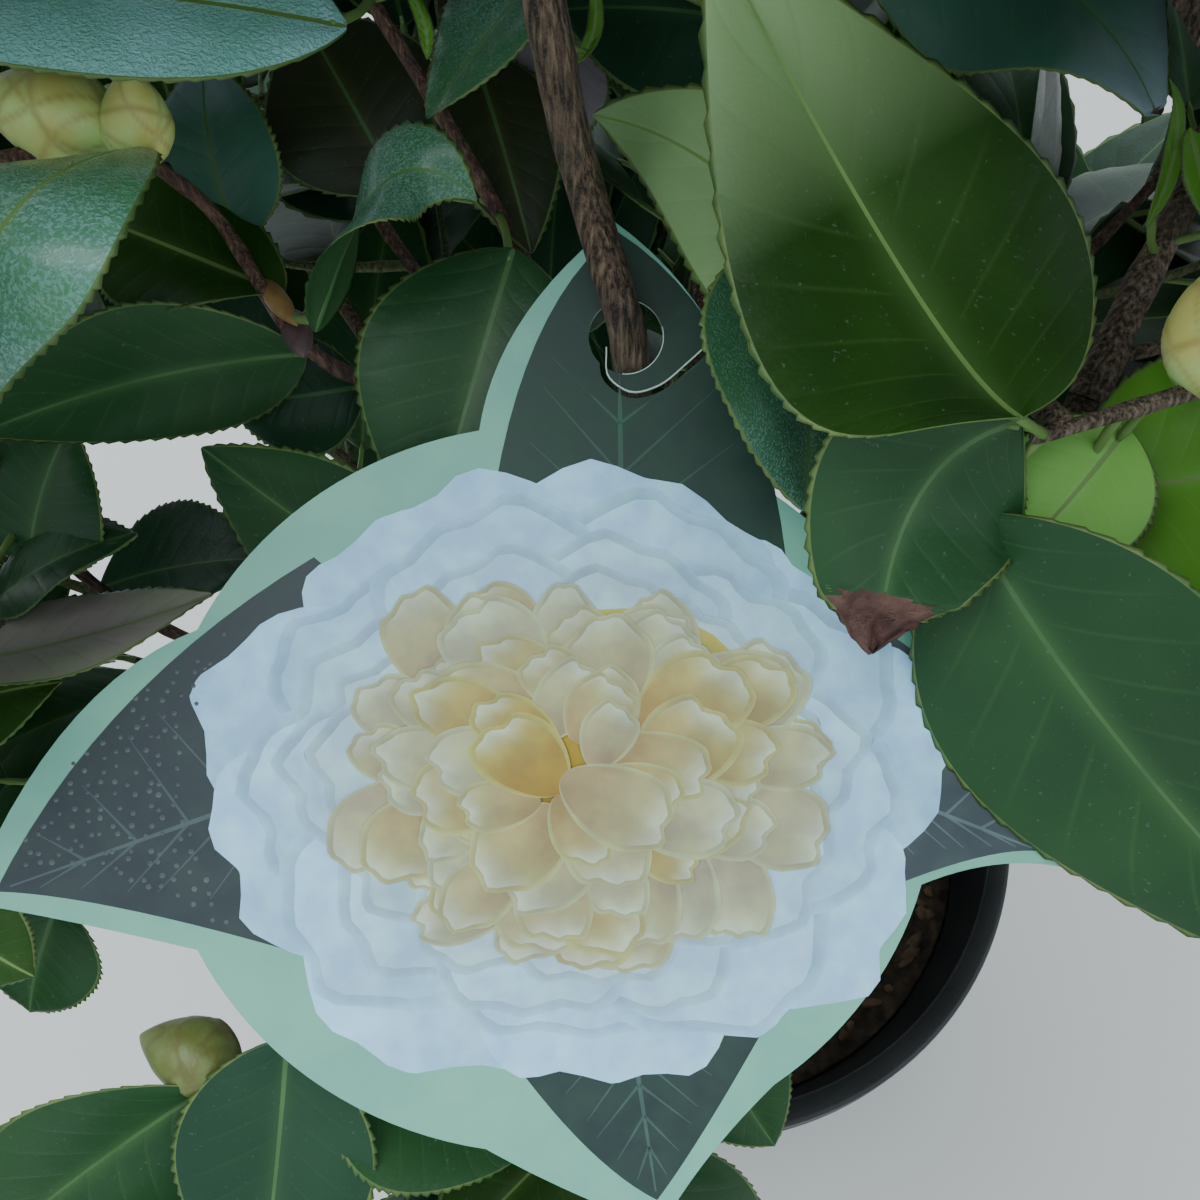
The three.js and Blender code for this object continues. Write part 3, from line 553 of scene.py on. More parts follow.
def make_vein_group() -> NodeTree:
    """Side veins on a leaf's own map, where across is 0.5 at the midrib and along is 0 at the foot.

    A vein is where (along - bend * |across|) * count is whole: the distance from that becomes a
    narrow line and a soft swell between lines.
    """
    sizes, outputs = {"Count": 9.0, "Bend": 0.2}, ["Vein", "Swell", "Across", "Along"]
    group, nodes, given, made = new_group("Leaf veins", sizes, outputs)
    uv = nodes.add("ShaderNodeUVMap", uv_map="UVMap").outputs[0]
    split = nodes.add("ShaderNodeSeparateXYZ", {0: uv}).outputs
    across = nodes.times(nodes.math("ABSOLUTE", nodes.less(split[0], 0.5)), 2.0)
    bent = nodes.times(nodes.math("POWER", across, 0.8), given.outputs["Bend"])
    place = nodes.times(nodes.less(split[1], bent), given.outputs["Count"])
    part = nodes.less(nodes.math("FRACT", place), 0.5)
    away = nodes.times(nodes.math("ABSOLUTE", part), 2.0)
    vein = nodes.times(nodes.ramp(away, 0.86, 1.0), nodes.ramp(across, 0.95, 0.55))
    swell = nodes.less(1.0, nodes.math("POWER", away, 3.0))
    nodes.put(made, {"Vein": vein, "Swell": swell, "Across": across, "Along": split[1]})
    return group


def make_bead_group() -> NodeTree:
    """A film of water drawn up in small beads: islands of a noise whose middles stand up."""
    group, nodes, given, made = new_group("Water beads", {"Scale": 700.0, "Level": 0.5}, ["Bead", "Height"])
    islands = nodes.noise(given.outputs["Scale"], 1.5, nodes.place(), 0.5)
    over = nodes.less(islands, given.outputs["Level"])
    rise = nodes.math("MULTIPLY", nodes.math("MAXIMUM", over, 0.0), 6.0, clamp=True)
    nodes.put(made, {"Bead": nodes.ramp(over, -0.09, 0.10), "Height": nodes.math("SQRT", rise)})
    return group


@dataclass
class Workshop:
    """The shared node groups, built once."""

    mottle: NodeTree = field(default_factory=make_mottle_group)
    veins: NodeTree = field(default_factory=make_vein_group)
    beads: NodeTree = field(default_factory=make_bead_group)


class Finish:
    """What all finishes share."""

    def make(self, name: str, shop: Workshop) -> Material:
        """Builds the material.

        Args:
            name: The material's name.
            shop: The shared node groups.

        Returns:
            The material.
        """
        material = bpy.data.materials.new(name)
        material.use_nodes = True
        self.wire(Nodes(material.node_tree), material.node_tree.nodes["Principled BSDF"], shop)
        return material

    def wire(self, nodes: Nodes, shader: Node, shop: Workshop) -> None:
        """Wires a material's shader, by its tree's hand and with the shared node groups."""
        raise NotImplementedError


@dataclass(frozen=True)
class LeafFinish(Finish):
    """A leaf's upper face: its green, the tint of its blotches and veins, its gloss, a painted sheen towards
    the tip on some looks, and its water, whose tint is partly a painted reflection.
    """

    colour: Colour
    blotch: Colour
    vein: Colour
    roughness: float = 0.38
    coat: float = 0.05
    beads: float = 0.0
    dry: float = 0.5
    bead_scale: float = 1800.0
    film: float = 0.7
    # A paler colour blended in towards the tip: a painted sheen of the sky's light.
    tip: Colour | None = None
    blotch_share: float = 0.5
    speck: Colour = (0.30, 0.38, 0.30)
    # The beads' pale blue-grey: partly the water film and partly a painted reflection of the sky.
    water: Colour = (0.42, 0.70, 0.72)

    def wire(self, nodes: Nodes, shader: Node, shop: Workshop) -> None:
        """Green mottled towards the blotch tint, paler along the veins, with a painted sheen towards the tip
        where the finish has a tip colour, and beaded where it is wet, the beads' pale blue-grey partly a
        painted reflection.
        """
        mottle = nodes.group(shop.mottle, Coarse=45.0, Fine=1400.0)
        veins = nodes.group(shop.veins)
        spread = nodes.ramp(mottle["Blotch"], 0.42, 0.68)
        colour = nodes.mix(nodes.times(spread, self.blotch_share), self.colour, self.blotch)
        # Painted sheen: the colour blends towards the tip colour over the last third of the leaf.
        if self.tip:
            colour = nodes.mix(nodes.ramp(veins["Along"], 0.64, 1.0), colour, self.tip)
        glow = nodes.math("POWER", nodes.ramp(veins["Across"], 0.22, 0.0), 2.0)
        lines = nodes.math("MAXIMUM", nodes.times(glow, 0.4), nodes.times(veins["Vein"], 0.14))
        colour = nodes.mix(lines, colour, self.vein)
        colour = nodes.mix(nodes.times(nodes.ramp(mottle["Grain"], 0.66, 0.74), 0.16), colour, self.speck)
        height = nodes.plus(nodes.times(veins["Swell"], 0.3), nodes.times(mottle["Grain"], 0.3))
        rough = nodes.plus(nodes.times(mottle["Grain"], 0.2), self.roughness - 0.1)
        if self.beads:
            beads = nodes.group(shop.beads, Scale=self.bead_scale, Level=self.dry)
            height = nodes.plus(height, nodes.times(beads["Height"], self.beads))
            # Where beads stand, the leaf is tinted towards the water colour. This is partly the film itself
            # and partly a painted reflection of the sky.
            wetter = nodes.ramp(mottle["Blotch"], 0.25, 0.55)
            film = nodes.times(nodes.times(beads["Bead"], wetter), self.film)
            colour = nodes.mix(film, colour, self.water)
            rough = nodes.less(rough, nodes.times(beads["Bead"], 0.1))
        gloss = {"Coat Weight": self.coat, "Coat Roughness": 0.25, "Specular IOR Level": 0.2}
        nodes.put(shader, {"Base Color": colour, "Roughness": rough, **gloss})
        nodes.bump(shader, height, 0.5, 0.35)


@dataclass(frozen=True)
class PlainFinish(Finish):
    """A finish of one colour mottled with another, with grain in its relief and its gloss."""

    colour: Colour
    blotch: Colour
    roughness: float
    coarse: float = 60.0
    fine: float = 900.0
    relief_mm: float = 0.2
    coat: float = 0.0
    rim: Colour | None = None
    specular: float = 0.4

    def wire(self, nodes: Nodes, shader: Node, shop: Workshop) -> None:
        """One colour mottled with the other, and darker where the points' tint says a rim."""
        mottle = nodes.group(shop.mottle, Coarse=self.coarse, Fine=self.fine)
        colour = nodes.mix(nodes.ramp(mottle["Blotch"], 0.38, 0.66), self.colour, self.blotch)
        if self.rim:
            tint = nodes.add("ShaderNodeAttribute", attribute_name="tint")
            colour = nodes.mix(tint.outputs["Fac"], self.rim, colour)
        rough = nodes.plus(nodes.times(mottle["Grain"], 0.25), self.roughness - 0.12)
        gloss = {"Coat Weight": self.coat, "Specular IOR Level": self.specular}
        nodes.put(shader, {"Base Color": colour, "Roughness": rough, **gloss})
        nodes.bump(shader, mottle["Grain"], 0.6, self.relief_mm)


@dataclass(frozen=True)
class BarkFinish(Finish):
    """Bark in lengthwise streaks: a ground, darker fissures and paler ridges, their dark partly painted
    shade and their pale partly a painted highlight.
    """

    ground: Colour
    fissure: Colour
    ridge: Colour
    roughness: float = 0.8

    def wire(self, nodes: Nodes, shader: Node, shop: Workshop) -> None:
        """Streaks from noise drawn out along the height, with grain and faded patches over them."""
        drawn = nodes.add("ShaderNodeMapping", {"Scale": (1.0, 1.0, 0.11), "Vector": nodes.place()})
        streak = nodes.noise(1500.0, 4.0, drawn.outputs[0])
        patch = nodes.group(shop.mottle, Coarse=150.0, Fine=3200.0)
        # The fissures' near-black is partly the bark's own colour and partly painted shade. The ridges' pale
        # is partly their own colour and partly a painted highlight.
        colour = nodes.mix(nodes.ramp(streak, 0.41, 0.48), self.fissure, self.ground)
        colour = nodes.mix(nodes.ramp(streak, 0.54, 0.64), colour, self.ridge)
        colour = nodes.mix(nodes.times(nodes.ramp(patch["Grain"], 0.5, 0.7), 0.4), colour, self.ridge)
        colour = nodes.mix(nodes.times(nodes.ramp(patch["Blotch"], 0.52, 0.75), 0.45), colour, self.ridge)
        nodes.put(shader, {"Base Color": colour, "Roughness": self.roughness})
        height = nodes.plus(nodes.ramp(streak, 0.35, 0.7), nodes.times(patch["Grain"], 0.5))
        nodes.bump(shader, height, 0.9, 0.6)


@dataclass(frozen=True)
class PrintFinish(Finish):
    """Ink on the label: the colour that its points carry, with the card's satin gloss."""

    roughness: float = 0.42

    def wire(self, nodes: Nodes, shader: Node, shop: Workshop) -> None:
        """The points' tint, a little lighter and darker in blotches."""
        ink = nodes.add("ShaderNodeAttribute", attribute_name="tint").outputs["Color"]
        blotch = nodes.group(shop.mottle, Coarse=220.0, Fine=3000.0)["Blotch"]
        light = nodes.mix(1.0, ink, (1.25, 1.35, 1.15), "MULTIPLY")
        dark = nodes.mix(1.0, ink, (0.9, 0.9, 0.92), "MULTIPLY")
        colour = nodes.mix(0.6, ink, nodes.mix(nodes.ramp(blotch, 0.38, 0.66), dark, light))
        rough = nodes.plus(nodes.times(blotch, 0.2), self.roughness - 0.1)
        nodes.put(shader, {"Base Color": colour, "Roughness": rough, "Specular IOR Level": 0.35})


LEAF_FINISHES = {
    Look.DEEP: LeafFinish((0.021, 0.074, 0.025), (0.037, 0.108, 0.032), (0.1, 0.22, 0.07)),
    Look.DARK: LeafFinish((0.018, 0.06, 0.03), (0.03, 0.084, 0.04), (0.06, 0.14, 0.05), 0.34),
    Look.MID: LeafFinish((0.016, 0.056, 0.007), (0.04, 0.11, 0.014), (0.1, 0.2, 0.05), 0.44, 0.05),
    # Painted sheen: the pale tip colour stands for the sky's light on the leaf's tip.
    Look.LIT: LeafFinish(
        (0.013, 0.046, 0.005), (0.034, 0.096, 0.011), (0.1, 0.2, 0.05), 0.44, 0.05, tip=(0.33, 0.5, 0.22)
    ),
    Look.DUSTY: LeafFinish((0.22, 0.36, 0.155), (0.15, 0.28, 0.1), (0.3, 0.44, 0.2), 0.6, 0.0),
    Look.LIGHT: LeafFinish((0.19, 0.43, 0.085), (0.23, 0.48, 0.11), (0.28, 0.5, 0.16), 0.5, 0.04),
    Look.BRIGHT: LeafFinish((0.085, 0.25, 0.02), (0.13, 0.33, 0.035), (0.2, 0.42, 0.08), 0.42, 0.08),
    # The wet looks' blue-green, strongest on the misted leaf, is partly their water and partly a painted
    # sheen of the sky.
    Look.WET: LeafFinish(
        (0.075, 0.235, 0.1), (0.125, 0.33, 0.25), (0.24, 0.42, 0.16), 0.28, 0.4, 1.9, 0.46, film=0.3
    ),
    Look.MIST: LeafFinish(
        (0.22, 0.52, 0.45), (0.42, 0.78, 0.86), (0.4, 0.65, 0.4), 0.28, 0.4, 1.9, 0.42, film=0.45
    ),
    Look.DEWY: LeafFinish(
        (0.032, 0.12, 0.042), (0.06, 0.17, 0.095), (0.14, 0.28, 0.11), 0.32, 0.3, 0.9, 0.5, 3200.0, 0.2
    ),
    # Painted sheen: the blue-grey tip colour stands for the sky's light on the leaf.
    Look.SHEEN: LeafFinish(
        (0.048, 0.14, 0.092), (0.08, 0.19, 0.135), (0.12, 0.24, 0.12), 0.36, tip=(0.26, 0.34, 0.4)
    ),
    Look.BRONZE: LeafFinish((0.03, 0.045, 0.018), (0.05, 0.052, 0.025), (0.12, 0.13, 0.05), 0.42),
    Look.OLD: LeafFinish(
        (0.32, 0.27, 0.26), (0.26, 0.3, 0.18), (0.12, 0.08, 0.08), 0.55, 0.05, blotch_share=0.9
    ),
    Look.PALE: LeafFinish((0.26, 0.22, 0.25), (0.2, 0.18, 0.19), (0.32, 0.27, 0.28), 0.6, 0.0),
}

SIDE_FINISHES = {
    Side.UNDER: PlainFinish((0.08, 0.17, 0.05), (0.11, 0.21, 0.07), 0.65, 50.0, 1200.0, 0.15, specular=0.15),
    # Painted shade: a darker underside for leaves whose undersides hang in shadow.
    Side.DARK_UNDER: PlainFinish(
        (0.025, 0.07, 0.022), (0.04, 0.1, 0.03), 0.6, 50.0, 1200.0, 0.15, specular=0.15
    ),
    Side.MIDRIB: PlainFinish((0.055, 0.145, 0.045), (0.08, 0.18, 0.06), 0.45, 90.0, 1500.0, 0.1),
    Side.PALE_MIDRIB: PlainFinish((0.14, 0.25, 0.06), (0.17, 0.28, 0.08), 0.5, 90.0, 1500.0, 0.1),
    Side.EDGE: PlainFinish((0.075, 0.15, 0.04), (0.15, 0.22, 0.06), 0.45, 130.0, 1500.0, 0.1),
    Side.WITHERED: PlainFinish((0.075, 0.032, 0.028), (0.18, 0.095, 0.07), 0.75, 220.0, 1800.0, 0.5),
}

BUD_FINISHES = {
    tone: PlainFinish(colour, blotch, roughness, coarse, 1500.0, 0.15, 0.1, rim)
    for tone, colour, blotch, roughness, coarse, rim in (
        (Tone.GREEN, (0.15, 0.17, 0.04), (0.19, 0.24, 0.075), 0.45, 260.0, (0.13, 0.09, 0.03)),
        # Painted light: the pale tone is raised to stand for light on buds that sit in shade.
        (Tone.PALE, (0.64, 0.6, 0.17), (0.58, 0.82, 0.3), 0.42, 130.0, (0.36, 0.22, 0.06)),
        (Tone.AMBER, (0.3, 0.18, 0.06), (0.22, 0.11, 0.04), 0.5, 260.0, (0.2, 0.09, 0.03)),
        (Tone.MAUVE, (0.13, 0.085, 0.085), (0.09, 0.06, 0.06), 0.5, 260.0, (0.08, 0.04, 0.04)),
    )
}

TWIG_BARKS = {
    "green twig": BarkFinish((0.1, 0.13, 0.04), (0.06, 0.07, 0.025), (0.16, 0.19, 0.07), 0.6),
    "red brown twig": BarkFinish((0.11, 0.05, 0.035), (0.05, 0.022, 0.018), (0.2, 0.12, 0.08), 0.6),
    "grey brown twig": BarkFinish((0.13, 0.085, 0.055), (0.03, 0.02, 0.014), (0.26, 0.2, 0.15), 0.75),
}


# The label


@dataclass
class Petal:
    """A printed petal, its lengths as shares of the flower's size, and how yellow its foot is."""

    at: Array
    turn: float
    foot: float
    reach: float
    half: float
    warm: float
    shaded: bool = True


@dataclass
class Label:
    """The die-cut card in its own frame: across, up, and out of its printed face, in millimetres."""

    place: Array = field(default_factory=lambda: vec(-29.2, -59.4, 398.9))
    tilt_deg: float = 30.0
    thickness: float = 0.6
    body_centre: Pair = (-7.5, -26.5)
    body_wide: float = 54.2
    body_high: float = 51.0
    hole: Pair = (3.6, 36.9)
    hole_radius: float = 5.2
    slit_width: float = 0.8
    bow: float = 0.8
    flower: Pair = (-4.0, -24.5)
    flower_size: Pair = (52.0, 44.0)
    dot_places: int = 560
    rings: tuple = (
        (9, 1.0, 0.40, 0.0),
        (9, 0.88, 0.33, 0.04),
        (10, 0.76, 0.26, 0.12),
        (11, 0.66, 0.21, 0.25),
    )
    heart_petals: int = 74
    layer: float = 0.003

    def axes(self) -> Array:
        """The label's own directions, one to a row."""
        tilt = math.radians(self.tilt_deg)
        c, s = math.cos(tilt), math.sin(tilt)
        return np.array([[1, 0, 0], [0, c, s], [0, -s, c]])

    def world(self, places: Array) -> Array:
        """Places in the label's frame, in the object's frame."""
        return self.place + np.asarray(places, float) @ self.axes()

    def seen(self, points: Array) -> Array:
        """Places in the object's frame, in the label's frame."""
        return (points - self.place) @ self.axes().T

    def facing(self) -> Array:
        """The direction out of the printed face."""
        return unit(self.world(vec(0, 0, 1)) - self.place)

    def surface(self, flat: Array, height: Array | float) -> Array:
        """Flat places laid on the bowed card: it lifts by bow times the square of (across / 60)."""
        lift = self.bow * ((flat[..., 0] - self.body_centre[0]) / 60.0) ** 2
        return self.world(zipped(flat[..., 0], flat[..., 1], lift + height))

    def on_body(self, degrees: Array | float) -> Array:
        """The round body's edge at an angle."""
        turn = np.radians(degrees)
        x = self.body_centre[0] + self.body_wide * np.cos(turn)
        return zipped(x, self.body_centre[1] + self.body_high * np.sin(turn))

    def outline(self) -> Array:
        """The card's edge: arcs of the round body, joined by the curves of a tongue and three lobes."""

        def arc(low: float, high: float) -> Array:
            """Points along the round body."""
            return self.on_body(np.linspace(low, high, 2 + int((high - low) / 3)))

        return np.concatenate(
            [
                bezier((2.1, 52.9), (-14.5, 40), self.on_body(100)),
                arc(100, 154)[1:],
                bezier(self.on_body(154), (-76, -12), (-88, -42))[1:],
                bezier((-88, -42), (-76, -44), self.on_body(206))[1:],
                arc(206, 261)[1:],
                bezier(self.on_body(261), (-5, -83), (8.5, -88))[1:],
                bezier((8.5, -88), (14, -78), self.on_body(306))[1:],
                arc(306, 345)[1:],
                bezier(self.on_body(345), (56, -35), (65.8, -37.5))[1:],
                bezier((65.8, -37.5), (62, -8), self.on_body(30))[1:],
                arc(30, 57)[1:],
                bezier(self.on_body(57), (20, 40), (2.1, 52.9))[1:-1],
            ]
        )

    def hole_edge(self) -> Array:
        """The round hole's edge."""
        return np.array(self.hole) + self.hole_radius * circle(whole_turn(48))

    def slit_edge(self) -> Array:
        """The slit that lets the hole's edge open round the stem, as a narrow band along a curve."""
        places = ((19, 39), (12.6, 32.9), (8.4, 29.6), (4.2, 28.7), (0.7, 31.2), (0.4, 35.4))
        way = Way([(*place, 0) for place in places])
        shares = np.linspace(0, 1, 30)
        at, tangent = way.at(shares)[:, :2], way.tangent(shares)[:, :2]
        normal = zipped(-tangent[:, 1], tangent[:, 0]) * self.slit_width / 2
        return np.concatenate([at + normal, (at - normal)[::-1]])

    def slit_rim(self) -> list[Skin]:
        """The cut edges that show along the slit and the hole's lower side, as narrow pale bands laid flat
        on the face: a painted highlight where the edges catch the light.
        """
        slit = self.slit_edge()
        turns = np.radians(np.linspace(-95, 15, 24))
        rim = np.array(self.hole) + (self.hole_radius + 0.02) * circle(turns)
        made = []
        # The bands are painted highlights of the cut edges, in the card edge's finish laid flat on the face.
        for line, width in ((slit[len(slit) // 2 :], -0.17), (rim, 0.12)):
            step = np.gradient(line, axis=0)
            normal = unit(zipped(step[:, 1], -step[:, 0]))
            flat = np.stack([line, line + normal * width], axis=1)
            flat = (flat if width < 0 else flat[:, ::-1]).reshape(-1, 2)
            made.append(Skin(self.surface(flat, 0.05), quads=grid_quads(len(line), 2), quad_slots=1))
        return made

    def region(self, edge: Array, spacing: float) -> tuple[Array, Array]:
        """Fills an outline with triangles, leaving out the hole and the slit.

        Args:
            edge: The outline's points.
            spacing: About how far apart the inner points stand.

        Returns:
            Flat points, and the corners of each triangle.
        """
        cuts = [self.hole_edge(), self.slit_edge()]
        low, high = edge.min(axis=0), edge.max(axis=0)
        xs = np.arange(low[0], high[0], spacing)
        ys = np.arange(low[1], high[1], spacing)
        inner = np.stack(np.meshgrid(xs, ys), axis=-1).reshape(-1, 2)
        inner = inner[inside(inner, edge)]
        loops = [edge, *cuts]
        points = np.concatenate([*loops, inner])
        edges, first = [], 0
        for loop in loops:
            count = len(loop)
            edges += [(first + k, first + (k + 1) % count) for k in range(count)]
            first += count
        made = delaunay_2d_cdt([Vector(p) for p in points], edges, [], 0, 1e-5)
        flat = np.array([tuple(p) for p in made[0]])
        tris = np.array(made[2])
        middle = flat[tris].mean(axis=1)
        keep = inside(middle, edge) & ~inside(middle, cuts[0]) & ~inside(middle, cuts[1])
        return flat, tris[keep]

    def sheet(self, edge: Array, height: float, tint: Array, slot: int, spacing: float) -> Skin:
        """A flat layer of ink inside an outline."""
        flat, tris = self.region(edge, spacing)
        tints = np.broadcast_to(tint, (len(flat), 3)).copy()
        return Skin(self.surface(flat, height), tris=tris, tri_slots=slot, tint=tints)

    def card(self) -> Skin:
        """The card itself: its face, its back and the cut edge between them."""
        flat, tris = self.region(self.outline(), 3.0)
        count = len(flat)
        points = np.concatenate([self.surface(flat, 0.0), self.surface(flat, -self.thickness)])
        sides = np.concatenate([tris[:, [0, 1]], tris[:, [1, 2]], tris[:, [2, 0]]])
        keys = np.sort(sides, axis=1)
        _, index, counts = np.unique(keys, axis=0, return_index=True, return_counts=True)
        rim = sides[index[counts == 1]]
        walls = zipped(rim[:, 1], rim[:, 0], rim[:, 0] + count, rim[:, 1] + count)
        faces = np.concatenate([tris, tris[:, ::-1] + count])
        return Skin(points, quads=walls, tris=faces, quad_slots=1, tri_slots=0)

    def petals(self) -> list[Skin]:
        """A printed flower: broad white petals in rings, and a heart of small ruffled yellow ones.

        The petals of the heart stand on a spiral, petal k at a share sqrt(k / count) of the heart's
        reach, and each turns away from its direction by a seeded amount. Every petal inside the
        outer ring lies on a soft shade of itself.
        """
        plan = []
        for ring, (count, reach, half, warm) in enumerate(self.rings):
            for k in range(count):
                turn = 2 * math.pi * (k / count + 0.41 * ring) + between(-0.12, 0.12, 7, ring, k)
                size = reach * between(0.93, 1.03, 8, ring, k)
                half_width = half * between(0.85, 1.1, 9, ring, k)
                plan.append(Petal(vec(0, 0), turn, 0.3 * reach, size, half_width, warm, ring > 0))
        plan.append(Petal(vec(0, 0), 0.0, -0.5, 0.5, 0.5, 1.0))
        for k in range(self.heart_petals):
            share = math.sqrt((self.heart_petals - k) / self.heart_petals)
            around = k * math.radians(SPIRAL_DEG)
            at = 0.5 * share * vec(math.cos(around), math.sin(around)) * between(0.85, 1.1, 10, k)
            turn = around + between(-1.0, 1.0, 11, k)
            size = between(0.15, 0.25, 12, k)
            warm = between(0.8, 1.0, 13, k) * (0.85 + 0.15 * (1 - share))
            plan.append(Petal(at, turn, -0.35 * size, size, size * between(0.38, 0.55, 14, k), warm))
        made = []
        for k, petal in enumerate(plan):
            level = (2 * k + 8) * self.layer
            if petal.shaded:
                wide = replace(petal, reach=petal.reach * 1.03 + 0.008, half=petal.half * 1.1 + 0.008)
                made.append(self.petal(wide, level - self.layer, True))
            made.append(self.petal(petal, level, False))
        return made

    def petal(self, petal: Petal, level: float, shade: bool) -> Skin:
        """One printed petal, an egg whose half width is 2 sqrt(t (1 - t)) (0.7 + 0.45 t) along it.

        A fold runs down its middle, and its two flanks are lighter or darker as they turn to the
        printed light.

        Args:
            petal: The petal.
            level: Its height over the card.
            shade: Whether it is the soft shade under a petal.

        Returns:
            Its skin.
        """
        turn, warm = petal.turn, petal.warm
        rows, columns = 20, 13
        t = (1 - np.cos(np.linspace(0.03, math.pi - 0.03, rows))) / 2
        c = np.sin(np.linspace(-1, 1, columns) * math.pi / 2)
        along, across = np.meshgrid(t, c, indexing="ij")
        egg = 2 * np.sqrt(along * (1 - along)) * (0.7 + 0.45 * along)
        bend = egg * across
        frill = 0.05 * np.sin(3.5 * bend + 5 * turn) + 0.03 * np.sin(9 * bend + 3 * turn)
        radial = petal.foot + (petal.reach - petal.foot) * along * (1 + frill * along)
        x = petal.at[0] + radial * math.cos(turn) - petal.half * bend * math.sin(turn)
        y = petal.at[1] + radial * math.sin(turn) + petal.half * bend * math.cos(turn)
        flat = zipped(x, y).reshape(-1, 2) * np.array(self.flower_size) + np.array(self.flower)
        white, cream, yellow = vec(0.42, 0.72, 1.0), vec(0.51, 0.45, 0.105), vec(0.38, 0.22, 0.01)
        base = white * (1 - warm) + cream * warm
        deep = (white * 0.8) * (1 - warm) + yellow * warm
        if shade:
            near = 1 - np.maximum(np.abs(across) ** 6, along**14)[..., None]
            tint = (base * 0.96) * (1 - near) + (base * 0.55 + deep * 0.12) * near
        else:
            cup = np.clip(1.15 - along, 0, 1) ** (2.1 - 1.3 * warm)
            vein = 0.08 * (0.5 + 0.5 * np.cos(16 * bend)) * (1 - along)
            flank = 0.16 * np.clip(3 * bend, -1, 1) * math.cos(turn - 0.5) * (1 - 0.4 * along)
            amount = np.clip(cup * (0.45 + 0.7 * warm) + vein, 0, 1)[..., None]
            tint = (base * (1 - amount) + deep * amount) * (1 + flank - 0.05 * warm)[..., None]
            pale = (np.clip((along - 0.68) / 0.3, 0, 1) ** 2 * 0.7 * warm)[..., None]
            tint = tint * (1 - pale) + vec(0.62, 0.72, 0.66) * pale
        tint = tint.reshape(-1, 3)
        return Skin(self.surface(flat, level), quads=grid_quads(rows, columns), quad_slots=2, tint=tint)

    def leaf_print(self, tip: Pair, ends: Sequence[Pair], bends: Sequence[Pair], ink: Array) -> list[Skin]:
        """A plain printed leaf in a lobe, with a pale midrib and side veins.

        Args:
            tip: The leaf's tip.
            ends: Where its two edges go under the flower.
            bends: The control point of each edge.
            ink: Its colour.

        Returns:
            The leaf's ground and its veins.
        """
        left = bezier(ends[0], bends[0], tip)
        right = bezier(tip, bends[1], ends[1])
        edge = np.concatenate([left, right[1:], [np.array(self.flower)]])
        line = ink * 2.2
        made = [self.sheet(edge, self.layer, ink, 2, 2.5)]
        tip_at, middle = np.array(tip, float), (np.array(ends[0], float) + np.array(ends[1], float)) / 2
        foot = middle * 0.8 + np.array(self.flower) * 0.2
        made.append(self.ribbon(foot, tip_at * 0.96 + foot * 0.04, 0.5, line))
        for k in range(5):
            share = 0.2 + 0.14 * k
            root = foot + (tip_at - foot) * share
            for side in (left[::-1], right):
                place = 0.92 - share * 0.95
                end = side[int(np.clip(place, 0, 1) * (len(side) - 1))]
                made.append(self.ribbon(root, root + (end - root) * 0.82, 0.22, line * 0.9))
        return made

    def ribbon(self, start: Array, end: Array, half: float, tint: Array) -> Skin:
        """A printed line that tapers from its start to its end, kept off the hole."""
        shares = np.linspace(0, 1, 12)
        places = start + (end - start) * shares[:, None]
        direction = (end - start) / max(float(np.linalg.norm(end - start)), 1e-6)
        normal = np.array([-direction[1], direction[0]])
        width = half * (1 - 0.75 * shares)[:, None]
        near = np.linalg.norm(places - np.array(self.hole), axis=1) < self.hole_radius + 4.5
        width = np.where(near[:, None], 0.02, width)
        flat = np.stack([places - normal * width, places + normal * width], axis=1).reshape(-1, 2)
        quads = grid_quads(len(shares), 2)
        tints = np.tile(tint, (len(flat), 1))
        return Skin(self.surface(flat, 2 * self.layer), quads=quads, quad_slots=2, tint=tints)

    def dots(self) -> Skin:
        """Small raised dots over the printed leaf on the left lobe, each a low six-sided cap."""
        caps = []
        edge = self.outline()
        for k in range(self.dot_places):
            x = -82 + 2.1 * (k % 20) + between(-0.7, 0.7, 31, k)
            y = -50 + 1.9 * (k // 20) + between(-0.7, 0.7, 32, k)
            across, up = self.flower_size
            away = math.hypot((x - self.flower[0]) / across, (y - self.flower[1]) / up)
            under = y > -40 + 0.12 * (x + 84) - 0.012 * (x + 84) ** 2 + 2
            if away < 1.03 or not under or not inside(np.array([[x - 2.4, y + 2.8]]), edge).all():
                continue
            rim = np.array([x, y]) + between(0.3, 0.44, 33, k) * circle(whole_turn(6))
            flat = np.concatenate([rim, [[x, y]]])
            height = np.array([0.0] * 6 + [0.3]) + 3 * self.layer
            fan = np.array([[i, (i + 1) % 6, 6] for i in range(6)])
            tint = np.tile(vec(0.13, 0.155, 0.17), (7, 1))
            caps.append(Skin(self.surface(flat, height), tris=fan, tri_slots=2, tint=tint))
        return Skin.joined(caps)

